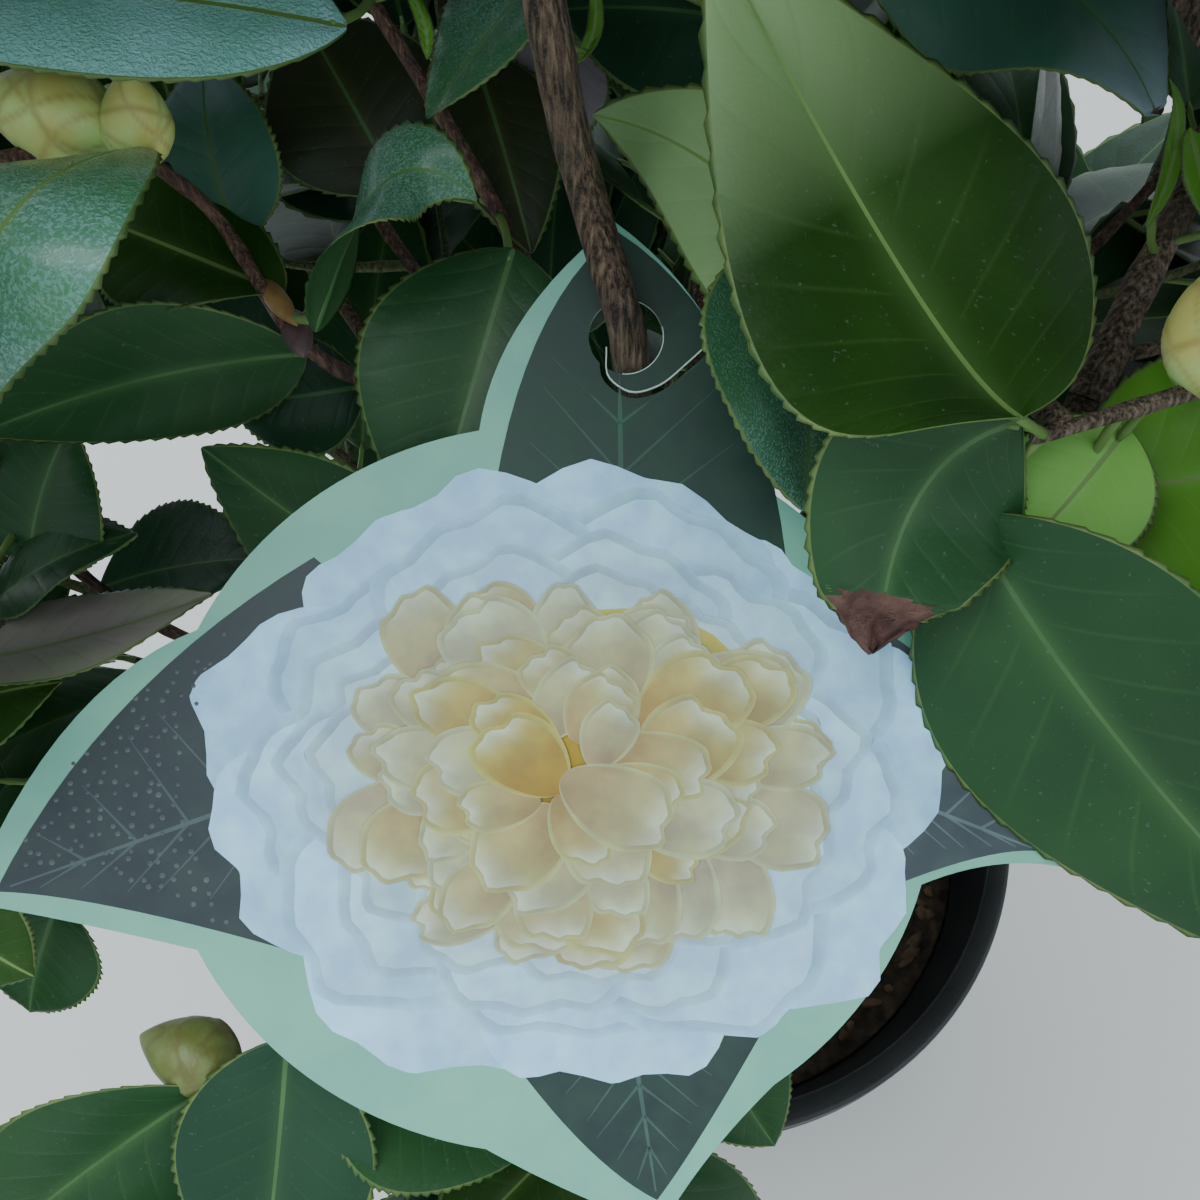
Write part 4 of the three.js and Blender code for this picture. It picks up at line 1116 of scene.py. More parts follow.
    def build(self, shop: Workshop) -> Object:
        """Makes the card with its print, in place of its solid.

        Args:
            shop: The shared node groups.

        Returns:
            The piece.
        """
        face = PlainFinish((0.19, 0.49, 0.37), (0.23, 0.55, 0.41), 0.42, 90.0, 2600.0, 0.05, 0.05)
        cut = PlainFinish((0.62, 0.78, 0.70), (0.66, 0.80, 0.72), 0.5, 90.0, 2600.0, 0.05)
        kinds = (("mint card", face), ("card edge", cut), ("ink", PrintFinish()))
        materials = [finish.make(name, shop) for name, finish in kinds]
        green, grey = vec(0.017, 0.048, 0.034), vec(0.037, 0.052, 0.058)
        leaves = [
            ((2.4, 51.6), ((-16, 6), (26, 6)), ((-12.5, 40), (22, 39)), green),
            ((-84.0, -40.5), ((-40, -50), (-40, 6)), ((-70, -41), (-70, -12)), grey),
            ((8.0, -84.0), ((24, -58), (-14, -62)), ((14, -76), (-2, -79)), (green + grey) / 2),
            ((61.5, -35.0), ((32, 0), (36, -42)), ((57, -12), (54, -34)), grey * 1.5),
        ]
        skins = [self.card(), *self.petals(), self.dots(), *self.slit_rim()]
        for tip, ends, bends, ink in leaves:
            skins += self.leaf_print(tip, ends, bends, ink)
        return lay_piece(Skin.joined(skins), "picture_label", materials, ["label"], smooth=False)


def bezier(start: Sequence[float], bend: Sequence[float], end: Sequence[float], steps: int = 14) -> Array:
    """Points of a quadratic curve: (1-t)^2 start + 2t(1-t) bend + t^2 end."""
    t = np.linspace(0, 1, steps)[:, None]
    a, b, c = (np.array(p, float) for p in (start, bend, end))
    return (1 - t) ** 2 * a + 2 * t * (1 - t) * b + t**2 * c


def inside(points: Array, edge: Array) -> Array:
    """Whether flat points lie inside an outline, by how often a ray to the right crosses it."""
    x, y = points[:, None, 0], points[:, None, 1]
    a, b = edge, np.roll(edge, -1, axis=0)
    crosses = (a[:, 1] > y) != (b[:, 1] > y)
    rise = np.where(b[:, 1] == a[:, 1], 1e-12, b[:, 1] - a[:, 1])
    at = a[:, 0] + (y - a[:, 1]) * (b[:, 0] - a[:, 0]) / rise
    return (crosses & (x < at)).sum(axis=1) % 2 == 1


# The pot and what fills it


@dataclass
class Pot:
    """A thin tapered tub with a turned-out rim and drain holes, filled with compost."""

    height: float = 170.0
    base_radius: float = 76.0
    shoulder_radius: float = 97.0
    rim_radius: float = 105.0
    rim_drop: float = 12.0
    mouth_radius: float = 98.0
    wall: float = 2.0
    floor: float = 3.0
    edge: float = 1.5
    holes: int = 6
    hole_radius: float = 6.0
    hole_circle: float = 58.0
    level: float = 148.0
    side_drop: float = 4.0
    crown: float = 30.0
    crumbs: tuple = ((2.6, 7.0, 3), (1.6, 2.6, 5), (0.9, 1.1, 9))
    chip_count: int = 420
    gap: float = 0.3
    segments: int = 144

    def profile(self) -> Array:
        """The wall's section from the axis outside and up to the rim, and back inside to the axis."""
        shoulder, wall = self.height - self.rim_drop, self.wall
        lip = np.linspace(0, math.pi / 2, 5)
        cosines, sines = self.edge * np.cos(lip), self.edge * np.sin(lip)
        floor_radii = np.array([0.001, 20.0, 46.0, 70.0])
        shares = np.linspace(0.02, 0.985, 24)
        taper = self.shoulder_radius - self.base_radius
        slope = zipped(taper * shares, (shoulder - self.edge) * shares)
        hem = [(-1.2, 0), (-0.3, 0.3), (0, 1.2), (-0.1, 4.0), (-0.5, 4.5), (-0.5, 5.1), (-0.1, 5.6)]
        under = vec(self.shoulder_radius - wall, shoulder - wall)
        corner = vec(self.base_radius - wall, self.floor)
        return np.concatenate(
            [
                zipped(floor_radii, np.zeros(4)),
                zipped(self.base_radius - self.edge + sines, self.edge - cosines),
                vec(self.base_radius, self.edge) + slope,
                [(self.shoulder_radius + 0.6, shoulder - 0.4)],
                vec(self.rim_radius, shoulder) + np.array(hem),
                zipped(self.rim_radius - self.edge + cosines, self.height - self.edge + sines),
                vec(self.mouth_radius, self.height) + np.array([(1.0, 0), (0.2, -0.3), (-0.2, -1.2)]),
                under + np.array([(0.3, 1.5), (0, 0)]),
                corner + np.array([(0, 0.8), (-1.0, 0)]),
                zipped(floor_radii[::-1], np.full(4, self.floor)),
            ]
        )

    def lathe(self, profile: Array) -> Array:
        """A profile turned round the axis: each point at radius times the cosine and sine of the turn."""
        turns = whole_turn(self.segments)
        radius, height = profile[:, None, 0], profile[:, None, 1]
        return zipped(radius * np.cos(turns), radius * np.sin(turns), height + 0 * turns)

    def build_tub(self, shop: Workshop) -> Object:
        """Makes the tub in place of its solid and cuts its drain holes."""
        finish = PlainFinish((0.010, 0.0105, 0.012), (0.017, 0.018, 0.020), 0.42, 40.0, 1500.0, 0.12, 0.05)
        tub = closed_skin(self.lathe(self.profile()))
        piece = lay_piece(tub, "nursery_pot", [finish.make("black pot plastic", shop)], ["pot"])
        drills = []
        for k in range(self.holes):
            turn = 2 * math.pi * k / self.holes
            at = vec(self.hole_circle * math.cos(turn), self.hole_circle * math.sin(turn), 0)
            way = Way([at - 6 * UP, at + 6 * UP])
            drills.append(closed_skin(limb_rings(way, np.full(2, self.hole_radius), 32)))
        drill = Skin.joined(drills).to_object("drain_drill", [])
        cut = piece.modifiers.new("drain holes", "BOOLEAN")
        cut.object = drill
        cut.solver = "EXACT"
        shape = piece.evaluated_get(bpy.context.evaluated_depsgraph_get())
        piece.modifiers.clear()
        piece.data = bpy.data.meshes.new_from_object(shape)
        bpy.data.objects.remove(drill)
        return piece

    def inside_radius(self, height: float) -> float:
        """The inside radius of the tapered wall at a height."""
        shoulder = self.height - self.rim_drop - self.wall
        share = (height - self.floor) / (shoulder - self.floor)
        return self.base_radius + (self.shoulder_radius - self.base_radius) * share - self.wall

    def build_compost(self, shop: Workshop) -> Object:
        """Makes the compost: a rough crumbly top over plain sides, with bark chips lying on it."""
        bottom, side = self.floor + self.gap, self.level - self.side_drop
        radii = np.linspace(0.5, self.inside_radius(side) - 2 * self.gap, 90)
        turns = whole_turn(288)
        radius, turn = np.meshgrid(radii, turns, indexing="ij")
        x, y = radius * np.cos(turn), radius * np.sin(turn)
        slope = np.clip((radius - self.crown) / (radii[-1] - self.crown), 0, 1)
        flat = zipped(x, y)
        crumbs = sum(rise * value_noise(flat / size, seed) for rise, size, seed in self.crumbs)
        z = self.level - self.side_drop * slope + crumbs - 3.6
        top = zipped(x, y, z)[::-1]
        foot_radius = self.inside_radius(bottom) - 2 * self.gap
        foot = zipped(foot_radius * np.cos(turns), foot_radius * np.sin(turns), bottom + 0 * turns)
        skin = closed_skin(np.concatenate([foot[None], top]))
        finish = PlainFinish((0.030, 0.020, 0.014), (0.070, 0.045, 0.028), 0.92, 260.0, 1800.0, 0.8)
        chip = PlainFinish((0.085, 0.048, 0.028), (0.15, 0.09, 0.05), 0.85, 200.0, 1600.0, 0.5)
        chips = self.chips()
        materials = [finish.make("moist compost", shop), chip.make("bark chips", shop)]
        return lay_piece(Skin.joined([skin, *chips]), "compost_fill", materials, ["compost"])

    def chips(self) -> list[Skin]:
        """Flat splinters of bark at random places and turns: rings of six points, squeezed flat."""
        made = []
        for k in range(self.chip_count):
            radius = 8 + (self.inside_radius(self.level) - 14) * math.sqrt(chance(41, k))
            turn = 2 * math.pi * chance(42, k)
            at = vec(radius * math.cos(turn), radius * math.sin(turn), self.level - 1.2 - 3.0 * radius / 92)
            heading, tilt = 2 * math.pi * chance(43, k), between(-0.35, 0.35, 44, k)
            way_along = vec(math.cos(heading), math.sin(heading), tilt)
            length, wide = between(2.5, 8.5, 45, k), between(0.9, 2.2, 46, k)
            way = Way([at - way_along * length / 2, at + way_along * length / 2])
            rings = limb_rings(way, np.array([0.5, 1.0, 0.9, 0.4]) * wide, 6)
            rings[..., 2] = at[2] + (rings[..., 2] - at[2]) * 0.45
            made.append(closed_skin(rings, 1))
        return made


# Trunk, boughs and twigs


@dataclass
class Limbs:
    """The main stem and the boughs: the solids' ways and radii, with bark relief."""

    foot: float = 148.3
    share: float = 0.62
    tip_radius: float = 1.5
    lead: float = 0.18
    sag: float = 0.08
    trunk_way: Way = field(
        default_factory=lambda: Way(
            [(0, 0, 148.3), (0, -1, 158), (-10, -16, 240), (-20, -27, 330), (-25.1, -27.9, 416.7)]
            + [(-26.8, -27.7, 425.3), (-32.4, -20.5, 443.3), (-35.5, -19.3, 462.5)]
            + [(-43, -5, 505), (-48, 4, 540)]
        )
    )
    radii: tuple = ((148, 8.5), (162, 5.4), (240, 4.2), (330, 3.4), (425, 2.65), (462, 2.5), (540, 1.9))

    def radius_at(self, height: Array | float) -> Array:
        """The main stem's radius at a height."""
        heights, values = zip(*self.radii)
        return np.interp(height, heights, values)

    def axis_at(self, height: float) -> Array:
        """The point on the main stem's axis at a height."""
        points = self.trunk_way.at(np.linspace(0, 1, 2001))
        return points[int(np.argmin(np.abs(points[:, 2] - height)))]

    def relief(self, stations: int, sides: int, length: float, seed: int) -> Array:
        """Bark relief from 0 to 1: long fissures from noise stretched along the limb, and fine grain."""
        turns, along = np.meshgrid(np.arange(sides) / sides, np.linspace(0, length, stations))
        cells = max(6, sides // 4)
        coarse = value_noise(zipped(turns * cells, along / 9.0), seed, cells)
        fine = value_noise(zipped(turns * 2 * cells, along / 3.2), seed + 1, 2 * cells)
        return 0.65 * coarse + 0.35 * fine

    def build_trunk(self, bark: Material) -> Object:
        """Makes the main stem with fissured bark, leaf scars and a lobed flare at its foot."""
        stations, sides = 720, 40
        shares = np.linspace(0, 1, stations)
        heights = self.trunk_way.at(shares)[:, 2]
        radius = self.radius_at(heights)
        rough = self.relief(stations, sides, self.trunk_way.length, 21)
        turns = whole_turn(sides)
        flare = np.clip((heights - 150) / 14, 0, 1)
        lobes = 1 + 0.16 * (1 - flare)[:, None] * np.cos(3 * turns + 0.6)
        scars = 1 + 0.02 * np.exp(-(((shares * 26) % 1 - 0.5) / 0.09) ** 2)
        reach = radius[:, None] * lobes * scars[:, None] * (1 + 0.17 * (rough - 0.62))
        rings = limb_rings(self.trunk_way, reach, sides)
        rings[0, :, 2] = self.foot
        skin = closed_skin(rings, 0, limb_uv(stations, sides))
        return lay_piece(skin, "main_stem", [bark], ["trunk"])

    def bough_skin(self, way: Way, rise: float, tip_radius: float, seed: int) -> Skin:
        """One tapering bough from the main stem's axis to its mass."""
        stations, sides = 64, 16
        shares = np.linspace(0, 1, stations)
        root = max(self.share * float(self.radius_at(rise)), tip_radius)
        radius = root * (1 - shares) + tip_radius * shares
        collar = 1 + 0.25 * np.exp(-shares * way.length / 6.0)
        rough = self.relief(stations, sides, way.length, seed)
        reach = (radius * collar)[:, None] * (1 + 0.10 * (rough - 0.6))
        return closed_skin(limb_rings(way, reach, sides), 0, limb_uv(stations, sides))


# Foliage


@dataclass
class Leaf:
    """A leaf: where its stalk leaves its twig, its curved midrib, and how its blade is turned."""

    root: Array
    foot: Array
    bend: Array
    tip: Array
    facing: Array
    width: float
    roll: float = 0.0
    twist: float = 0.0
    fold: float = 11.0
    look: Look = Look.DEEP
    near: bool = False
    withered: float = 2.0
    seed: int = 0

    def frame(self, shares: Array) -> tuple[Array, ...]:
        """Where the blade lies at shares of its length.

        Args:
            shares: From 0 at the foot to 1 at the tip.

        Returns:
            The midrib's points, its directions, the directions out of the face, and those to its side.
        """
        s = np.asarray(shares, float)[:, None]
        centre = (1 - s) ** 2 * self.foot + 2 * s * (1 - s) * self.bend + s**2 * self.tip
        tangent = unit((1 - s) * (self.bend - self.foot) + s * (self.tip - self.bend))
        face = unit(self.facing - (tangent @ self.facing)[:, None] * tangent)
        turn = -np.radians(self.roll + self.twist * (s - 0.5))
        face = face * np.cos(turn) + np.cross(tangent, face) * np.sin(turn)
        return centre, tangent, face, np.cross(face, tangent)


def leaf_outline(shares: Array) -> Array:
    """Half a leaf's width as a share of its widest: sin(pi s^0.82)^0.85 (1 - 0.1 s)."""
    swell = np.sin(np.pi * np.clip(shares, 0, 1) ** 0.82)
    return np.clip(swell, 0, None) ** 0.85 * (1 - 0.1 * shares)


@dataclass
class Twig:
    """A twig: its way, its radii and how many straight stretches its solid has."""

    way: Way
    radius: float = 1.4
    tip_radius: float = 0.9
    stations: int = 3

    def on(self, share: float) -> Array:
        """The point at a share of its length, on the straight stretches of its solid."""
        station = min(int(share * self.stations), self.stations - 1)
        ends = self.way.at(np.array([station, station + 1]) / self.stations)
        return ends[0] + (ends[1] - ends[0]) * (share * self.stations - station)


@dataclass
class Bud:
    """A pointed bud."""

    foot: Array
    tip: Array
    radius: float
    tone: Tone = Tone.GREEN


@dataclass
class Mass:
    """A mass of foliage: where its bough leaves the main stem, and what it carries."""

    name: str
    group: str
    rise: float = 0.0
    bough: Place | None = None
    stem: Place | None = None
    radius: float | None = None
    ways: tuple = ()
    leaf_list: tuple = ()
    bud_list: tuple = ()
    twigs: list[Twig] = field(default_factory=list)
    leaves: list[Leaf] = field(default_factory=list)
    buds: list[Bud] = field(default_factory=list)
    bough_way: Way | None = None
    home: Array | None = None


HAND_BOW = 2


def hand_leaf(foot: Place, tip: Place, width: float, look: Look, **rest: object) -> dict[str, object]:
    """A leaf listed one by one in the label's frame, with what else differs from a plain one."""
    return {"foot": foot, "tip": tip, "width": width, "look": look, "bow": HAND_BOW, **rest}


LEFT_LEAVES = (
    hand_leaf((-58.4, 58, 14.4), (-78.8, 21.7, 17.4), 27, Look.WET, middle=(-67.7, 41.2, 33), roll=-8,
        twist=56, fold=0),
    hand_leaf((-44, 37, -12), (-95, 25, -14), 30, Look.DEEP, roll=58, fold=6, bow=-3),
    hand_leaf((-45.4, 44.1, -5), (-75.4, 56.5, -7), 25, Look.MID, middle=(-66, 53.2, -9.5), roll=-10,
        twist=60),
    hand_leaf((-54.5, 54, -14), (-58, 80, -8), 25, Look.SHEEN, roll=20, bow=3),
    hand_leaf((-38, 35.6, 8.2), (-15.5, 50.7, 15.7), 17, Look.DEWY, middle=(-27.4, 52.8, 15.9), roll=37,
        twist=-176, fold=5),
    hand_leaf((-38.5, 35, -28), (-61.5, 32, -28), 21, Look.DARK, roll=20),
    hand_leaf((-23.5, -1.5, -20), (-61, 23.5, -16), 30, Look.DEEP, roll=30),
)
UPPER_LEFT_LEAVES = (
    hand_leaf((-31.5, 71.5, 18), (-98, 73, 24), 34, Look.MIST, roll=-25, bow=3),
    hand_leaf((-25, 78, 14), (-12, 118, 26), 30, Look.DEEP, bow=3),
    hand_leaf((-32, 65.5, -24), (-47, 92, -20), 31, Look.BRONZE, bow=3),
    hand_leaf((-3, 87, 12), (-22, 61.5, 14), 22, Look.DEWY, roll=-38, bow=1),
    hand_leaf((-19.5, 83.5, -14), (-10.5, 53, -16), 20, Look.BRONZE, roll=10),
    hand_leaf((21, 86, -10), (-6, 87.5, -10), 30, Look.DARK),
    hand_leaf((-12.5, 51, -6), (-25.5, 8, -10), 36, Look.DEEP),
    hand_leaf((-4, 87, -14), (-9, 71, -24), 17, Look.PALE),
    hand_leaf((-3.2, 74.3, 2), (-1.9, 86, 8), 2.4, Look.BRIGHT, middle=(-0.6, 78.8, 5)),
    hand_leaf((-23.4, 72.9, 6), (-27.5, 84, 10), 2.4, Look.BRIGHT, middle=(-23.8, 78, 8)),
)
LEFT_LOW_LEAVES = (
    hand_leaf((-94, 5, -30), (-85.5, 28.5, -26), 34, Look.DEEP, roll=20),
    hand_leaf((-96.5, -1, -22), (-72.5, 10.5, -20), 24, Look.DEEP, roll=50),
    hand_leaf((-97, -9.5, -6), (-57.2, 0.7, -9.3), 25, Look.OLD, middle=(-78.3, -6, -8), roll=57, twist=-15),
    hand_leaf((-101, -19, -8), (-78, -12, -6), 30, Look.MID, roll=40),
    hand_leaf((-93, 2, -55), (-61.5, 7.5, -50), 34, Look.DARK, roll=40),
)
LOWER_LEFT_LEAVES = (
    hand_leaf((-86.5, -48, -24), (-94, -68, -30), 22, Look.DEEP),
    hand_leaf((-94.5, -43.5, -4), (-82, -54.5, -6), 18, Look.MID),
    hand_leaf((-62.5, -77.5, -22), (-105.5, -110.5, -24), 36, Look.DEEP, roll=30, bow=-2),
    hand_leaf((-48.5, -68, -18), (-55.5, -118, -26), 34, Look.DARK, bow=-2),
    hand_leaf((-44.5, -76, -30), (-14.5, -94.5, -34), 30, Look.DEEP, roll=40),
)
RIGHT_LEAVES = (
    hand_leaf((33.5, 87.6, 8), (74.6, 61.4, 9.1), 38.4, Look.SHEEN, middle=(59.1, 80.5, 11.2), roll=13,
        twist=54, withered=0.93),
    hand_leaf((75.5, 51.5, 2), (76.8, 70.5, 6), 3, Look.BRIGHT, middle=(78.6, 62, 4)),
    hand_leaf((78.6, 63, 8), (81.8, 48, 8), 5, Look.BRIGHT, middle=(79.6, 56, 9)),
)
RIGHT_FRONT_LEAVES = (
    hand_leaf((46.6, 20, 35.4), (11.5, 73.8, 38), 46.5, Look.LIT, middle=(34.9, 37, 30.6), roll=-9,
        twist=43),
    hand_leaf((37.9, 17.8, 11.7), (-1, 67.5, 1), 25.7, Look.DUSTY, middle=(21.7, 46.4, 20), roll=11,
        twist=70),
    hand_leaf((24.5, 47.5, 14), (26.5, 11.5, 12), 36, Look.DEWY, roll=30),
    hand_leaf((50.2, 21.3, 25.5), (34, -12.5, 20), 33, Look.DEEP, middle=(39, 11.5, 18), roll=18,
        twist=-50, withered=0.76),
    hand_leaf((67.5, 22, 14), (52.5, 4, 12), 21, Look.LIGHT),
    hand_leaf((62.5, 13.5, 6), (102.5, 20, 6), 35, Look.BRIGHT),
    hand_leaf((47.5, 11, 13), (97, -50.5, 12), 45, Look.DEEP, middle=(67.1, -18.2, 13), roll=-40, twist=12),
)
FRONT_LOW_LEAVES = (
    hand_leaf((22, -98, -110), (40.5, -126.5, -110), 30, Look.DEEP),
    hand_leaf((3, -137, -76), (54, -172, -96), 34, Look.DARK, bow=4),
    hand_leaf((-6, -140, -74), (-26, -196, -92), 36, Look.DEEP, bow=4),
    hand_leaf((-8, -128, -96), (-62, -150, -112), 34, Look.DARK, roll=20, bow=4),
    hand_leaf((6, -124, -106), (40, -176, -136), 34, Look.DEEP, roll=10, bow=4),
)


def mass_list() -> list[Mass]:
    """The masses of foliage, in the solids' order. What is listed one by one is in the label's frame."""
    return [
        Mass(
            "left", "front_left", 345,
            ways=(
                ((-14, 31, -46), (-30.5, 34, -35), (-43.5, 37.5, -8), (-54, 54, 0), (-58.5, 57, 12)),
                ((-27.5, 33, -38), (-21, 0, -24)),
                ((-58, 56.5, 11), (-64, 61.2, 15.2)),
            ),
            leaf_list=LEFT_LEAVES,
            bud_list=(
                Bud((-61.5, 61, 15), (-79, 63.8, 17), 6.2, Tone.PALE),
                Bud((-57, 60.6, 13), (-57.5, 64.8, 21.5), 4.6, Tone.PALE),
                Bud((-60, 62, 8), (-66, 69, 7), 4, Tone.PALE),
                Bud((-46.8, 46, -6), (-42.6, 38.6, -1), 1.7, Tone.AMBER),
                Bud((-44.4, 41.4, -7), (-42, 34.4, -2), 2.3, Tone.MAUVE),
            ),
        ),
        Mass(
            "upper_left", "front_left", 318,
            ways=(
                ((-5, 40, -42), (-12.5, 54, -18), (-24, 71, 0), (-30.5, 80, 8), (-35, 87, 14)),
                ((-24, 71, 0), (-16, 82.5, 8), (-7, 88.5, 12)),
            ),
            leaf_list=UPPER_LEFT_LEAVES,
        ),
        Mass(
            "left_low", "front_left", 236,
            ways=(
                ((-54, -21.5, -90), (-85.5, -4, -60), (-94, 8.5, -40), (-96.5, 16.5, -32))
                + ((-99.5, 25.5, -25),),
            ),
            leaf_list=LEFT_LOW_LEAVES,
        ),
        Mass(
            "lower_left", "front_right", 214,
            ways=(
                ((-32.5, -66.5, -60), (-49.5, -72.5, -30), (-61.5, -76, -24)),
                ((-42, -71, -42), (-81, -50.5, -34), (-97, -42.5, -14)),
            ),
            leaf_list=LOWER_LEFT_LEAVES,
            bud_list=(Bud((-60, -74.5, -24.5), (-74, -70, -25), 6.2),),
        ),
        Mass(
            "right", "front_right", 262, radius=2.9,
            ways=(
                ((73, 30, -12), (79, 45.5, -8), (85, 59, -5), (89.5, 75.5, 0), (98, 98, 4)),
                ((89.5, 75.5, 0), (70, 92, 6), (50, 97, 9)),
            ),
            leaf_list=RIGHT_LEAVES,
        ),
        Mass(
            "right_front", "front_right", 221, radius=1.7,
            ways=(
                ((97, 26, 2), (92, 33, 10), (75, 26.5, 18), (52, 19.5, 24)),
                ((56, 21, 23), (48, 31, 17), (33, 43, 14)),
            ),
            leaf_list=RIGHT_FRONT_LEAVES,
            bud_list=(Bud((76.5, 27, 20), (75.3, 41, 29), 6.2, Tone.PALE),),
        ),
        Mass("top", "upper", stem=(-46, 14, 572)),
        Mass("upper_right", "upper", 474, (2, -16, 504), (62, -18, 546)),
        Mass("upper_back", "upper", 468, (-28, 20, 498), (-18, 80, 540)),
        Mass("upper_back_left", "upper", 488, (-70, 6, 510), (-124, 26, 550)),
        Mass("back", "back", 298, (-10, 22, 356), (-4, 88, 404)),
        Mass("back_left", "back", 308, (-52, 12, 366), (-100, 66, 424)),
        Mass("back_right", "back", 276, (30, 8, 350), (88, 46, 404)),
        Mass("far_left", "back", 286, (-118, 42, 366), (-168, -6, 410)),
        Mass(
            "front_low", "low", 190,
            ways=(
                ((-5, -106.5, -131), (-3, -123, -104), (-1, -137, -72)),
                ((-4.5, -110, -125), (10, -104, -115), (20, -99, -110)),
            ),
            leaf_list=FRONT_LOW_LEAVES,
        ),
        Mass("front_left", "low", 204, (-84, -92, 258), (-112, -140, 300)),
        Mass("front_right", "low", 208, (90, -48, 294), (128, -104, 340)),
        Mass("right_low", "low", 197, (66, -20, 252), (132, -30, 294)),
        Mass("back_low", "low", 241, (-12, 42, 266), (-8, 106, 300)),
        Mass("back_left_low", "low", 251, (-60, 22, 276), (-116, 58, 310)),
        Mass("back_right_low", "low", 231, (36, 26, 262), (88, 76, 300)),
    ]


@dataclass
class Room:
    """A space already taken: its surface and its box."""

    tree: BVHTree
    low: Array
    high: Array

    @staticmethod
    def of(skin: Skin) -> Room:
        """The room inside a closed skin."""
        faces = [tuple(int(i) for i in face) for part in (skin.quads, skin.tris) for face in part]
        tree = BVHTree.FromPolygons(skin.points.tolist(), faces)
        return Room(tree, skin.points.min(axis=0), skin.points.max(axis=0))


@dataclass
class Crown:
    """The rule by which twigs, leaves and buds follow one another, and the space they keep to."""

    label: Label
    limbs: Limbs
    pot: Pot
    centre: Array = field(default_factory=lambda: vec(-6, -6, 424))
    reach: Array = field(default_factory=lambda: vec(200, 204, 210))
    power: float = 2.6
    view_distance: float = 168.0
    slope: float = 0.5
    margin: float = 10.0
    behind: float = -30.0
    depth: float = -45.0
    gaps: tuple[tuple[float, float, float, float], ...] = (
        (0.03, 0.56, -0.56, -0.2),
        (-0.43, -0.28, 0.0, 0.17),
        (-0.56, -0.37, -0.42, -0.29),
    )
    above_rim: float = 12.0
    beside_rim: float = 8.0
    side_twigs: int = 6
    side_shares: Pair = (0.08, 0.9)
    side_splay_deg: float = 54.0
    side_swing_deg: float = 69.0
    side_lengths: Pair = (38.0, 58.0)
    side_radii: Pair = (1.05, 0.7)
    rise: float = 0.3
    leaf_shares: Pair = (0.32, 0.95)
    leaf_spacing: float = 12.0
    leaf_splay_deg: float = 58.0
    leaf_swing_deg: float = 60.0
    lean_deg: Pair = (-16.0, 20.0)
    leaf_lift: float = 0.12
    cluster_leaves: int = 3
    cluster_at: float = 0.99
    cluster_turn_deg: float = 40.0
    cluster_splay_deg: float = 42.0
    lengths: Pair = (60.0, 82.0)
    breadth: float = 0.54
    bow: float = 4.0
    roll_deg: float = 22.0
    stalk: float = 6.0
    tries: int = 8
    bud_share: float = 0.14
    bud_lift: float = 0.3
    bud_lengths: Pair = (11.0, 15.5)
    bud_radii: Pair = (3.9, 5.5)
    limb_clearance: float = 1.5
    room_shares: tuple[float, ...] = (0.2, 0.4, 0.7)
    room_thickness: float = 4.0
    home_share: float = 0.75
    home_slack: float = 24.0
    gap: float = 0.3
    masses: list[Mass] = field(default_factory=mass_list)
    rooms: list[Room] = field(default_factory=list)

    def allowed(self, points: Array, mass: Mass) -> bool:
        """Whether all points lie in the crown, off the pot, out of the gaps and in the mass's own space."""
        shares = np.abs((points - self.centre) / self.reach) ** self.power
        if (shares.sum(axis=1) >= 1).any():
            return False
        across = np.hypot(points[:, 0], points[:, 1])
        low = points[:, 2] < self.pot.height + self.above_rim
        if (low & (across < self.pot.rim_radius + self.beside_rim)).any():
            return False
        seen = self.label.seen(points)
        depth = self.view_distance - seen[:, 2]
        cone = self.slope * np.maximum(depth, 0) + self.margin
        in_cone = (depth > self.behind) & (seen[:, 2] > self.depth)
        if (in_cone & (np.abs(seen[:, :2]).max(axis=1) < cone)).any():
            return False
        x, y = seen[:, 0] / depth, seen[:, 1] / depth
        for left, right, bottom, top in self.gaps:
            if ((depth > 0) & (x > left) & (x < right) & (y > bottom) & (y < top)).any():
                return False
        own = np.linalg.norm(points - mass.home, axis=1) - self.home_slack
        homes = np.array([other.home for other in self.masses if other is not mass])
        others = np.linalg.norm(points[:, None] - homes[None], axis=2).min(axis=1)
        return bool((others > own).all())

    def free(self, room: Room) -> bool:
        """Whether a room reaches into none of the rooms already taken."""
        lows = np.array([other.low for other in self.rooms])
        highs = np.array([other.high for other in self.rooms])
        close = ((lows <= room.high) & (highs >= room.low)).all(axis=1)
        return not any(self.rooms[i].tree.overlap(room.tree) for i in np.flatnonzero(close))

    def probed(self, leaf: Leaf) -> tuple[Array, Array, Array, Array]:
        """A leaf's middle, face and side at a few places, and how far it reaches to either side."""
        shares = np.array(self.room_shares)
        centre, _, face, side = leaf.frame(shares)
        return centre, face, side, (leaf_outline(shares) * leaf.width / 2)[:, None]

    def leaf_room(self, leaf: Leaf) -> Room:
        """A leaf's room: its folded blade made four millimetres thick, from a fifth of its length on."""
        centre, face, side, reach = self.probed(leaf)
        fold = math.radians(leaf.fold)
        lift, half = face * reach * math.sin(fold), face * self.room_thickness / 2
        right = centre + side * reach * math.cos(fold) + lift
        left = centre - side * reach * math.cos(fold) + lift
        rings = np.stack([right, centre + half, left, centre - half], axis=1)
        tip = np.repeat(leaf.tip[None, None], 4, axis=1)
        return Room.of(closed_skin(np.concatenate([rings, tip])))

    def limb_room(self, way: Way, radius: float, start: float, sides: int) -> Room:
        """A limb's room from a share of its length on, with clearance all round."""
        part = Way(way.at(start + (1 - start) * np.arange(4) / 3))
        return Room.of(closed_skin(limb_rings(part, np.full(6, radius + self.limb_clearance), sides)))

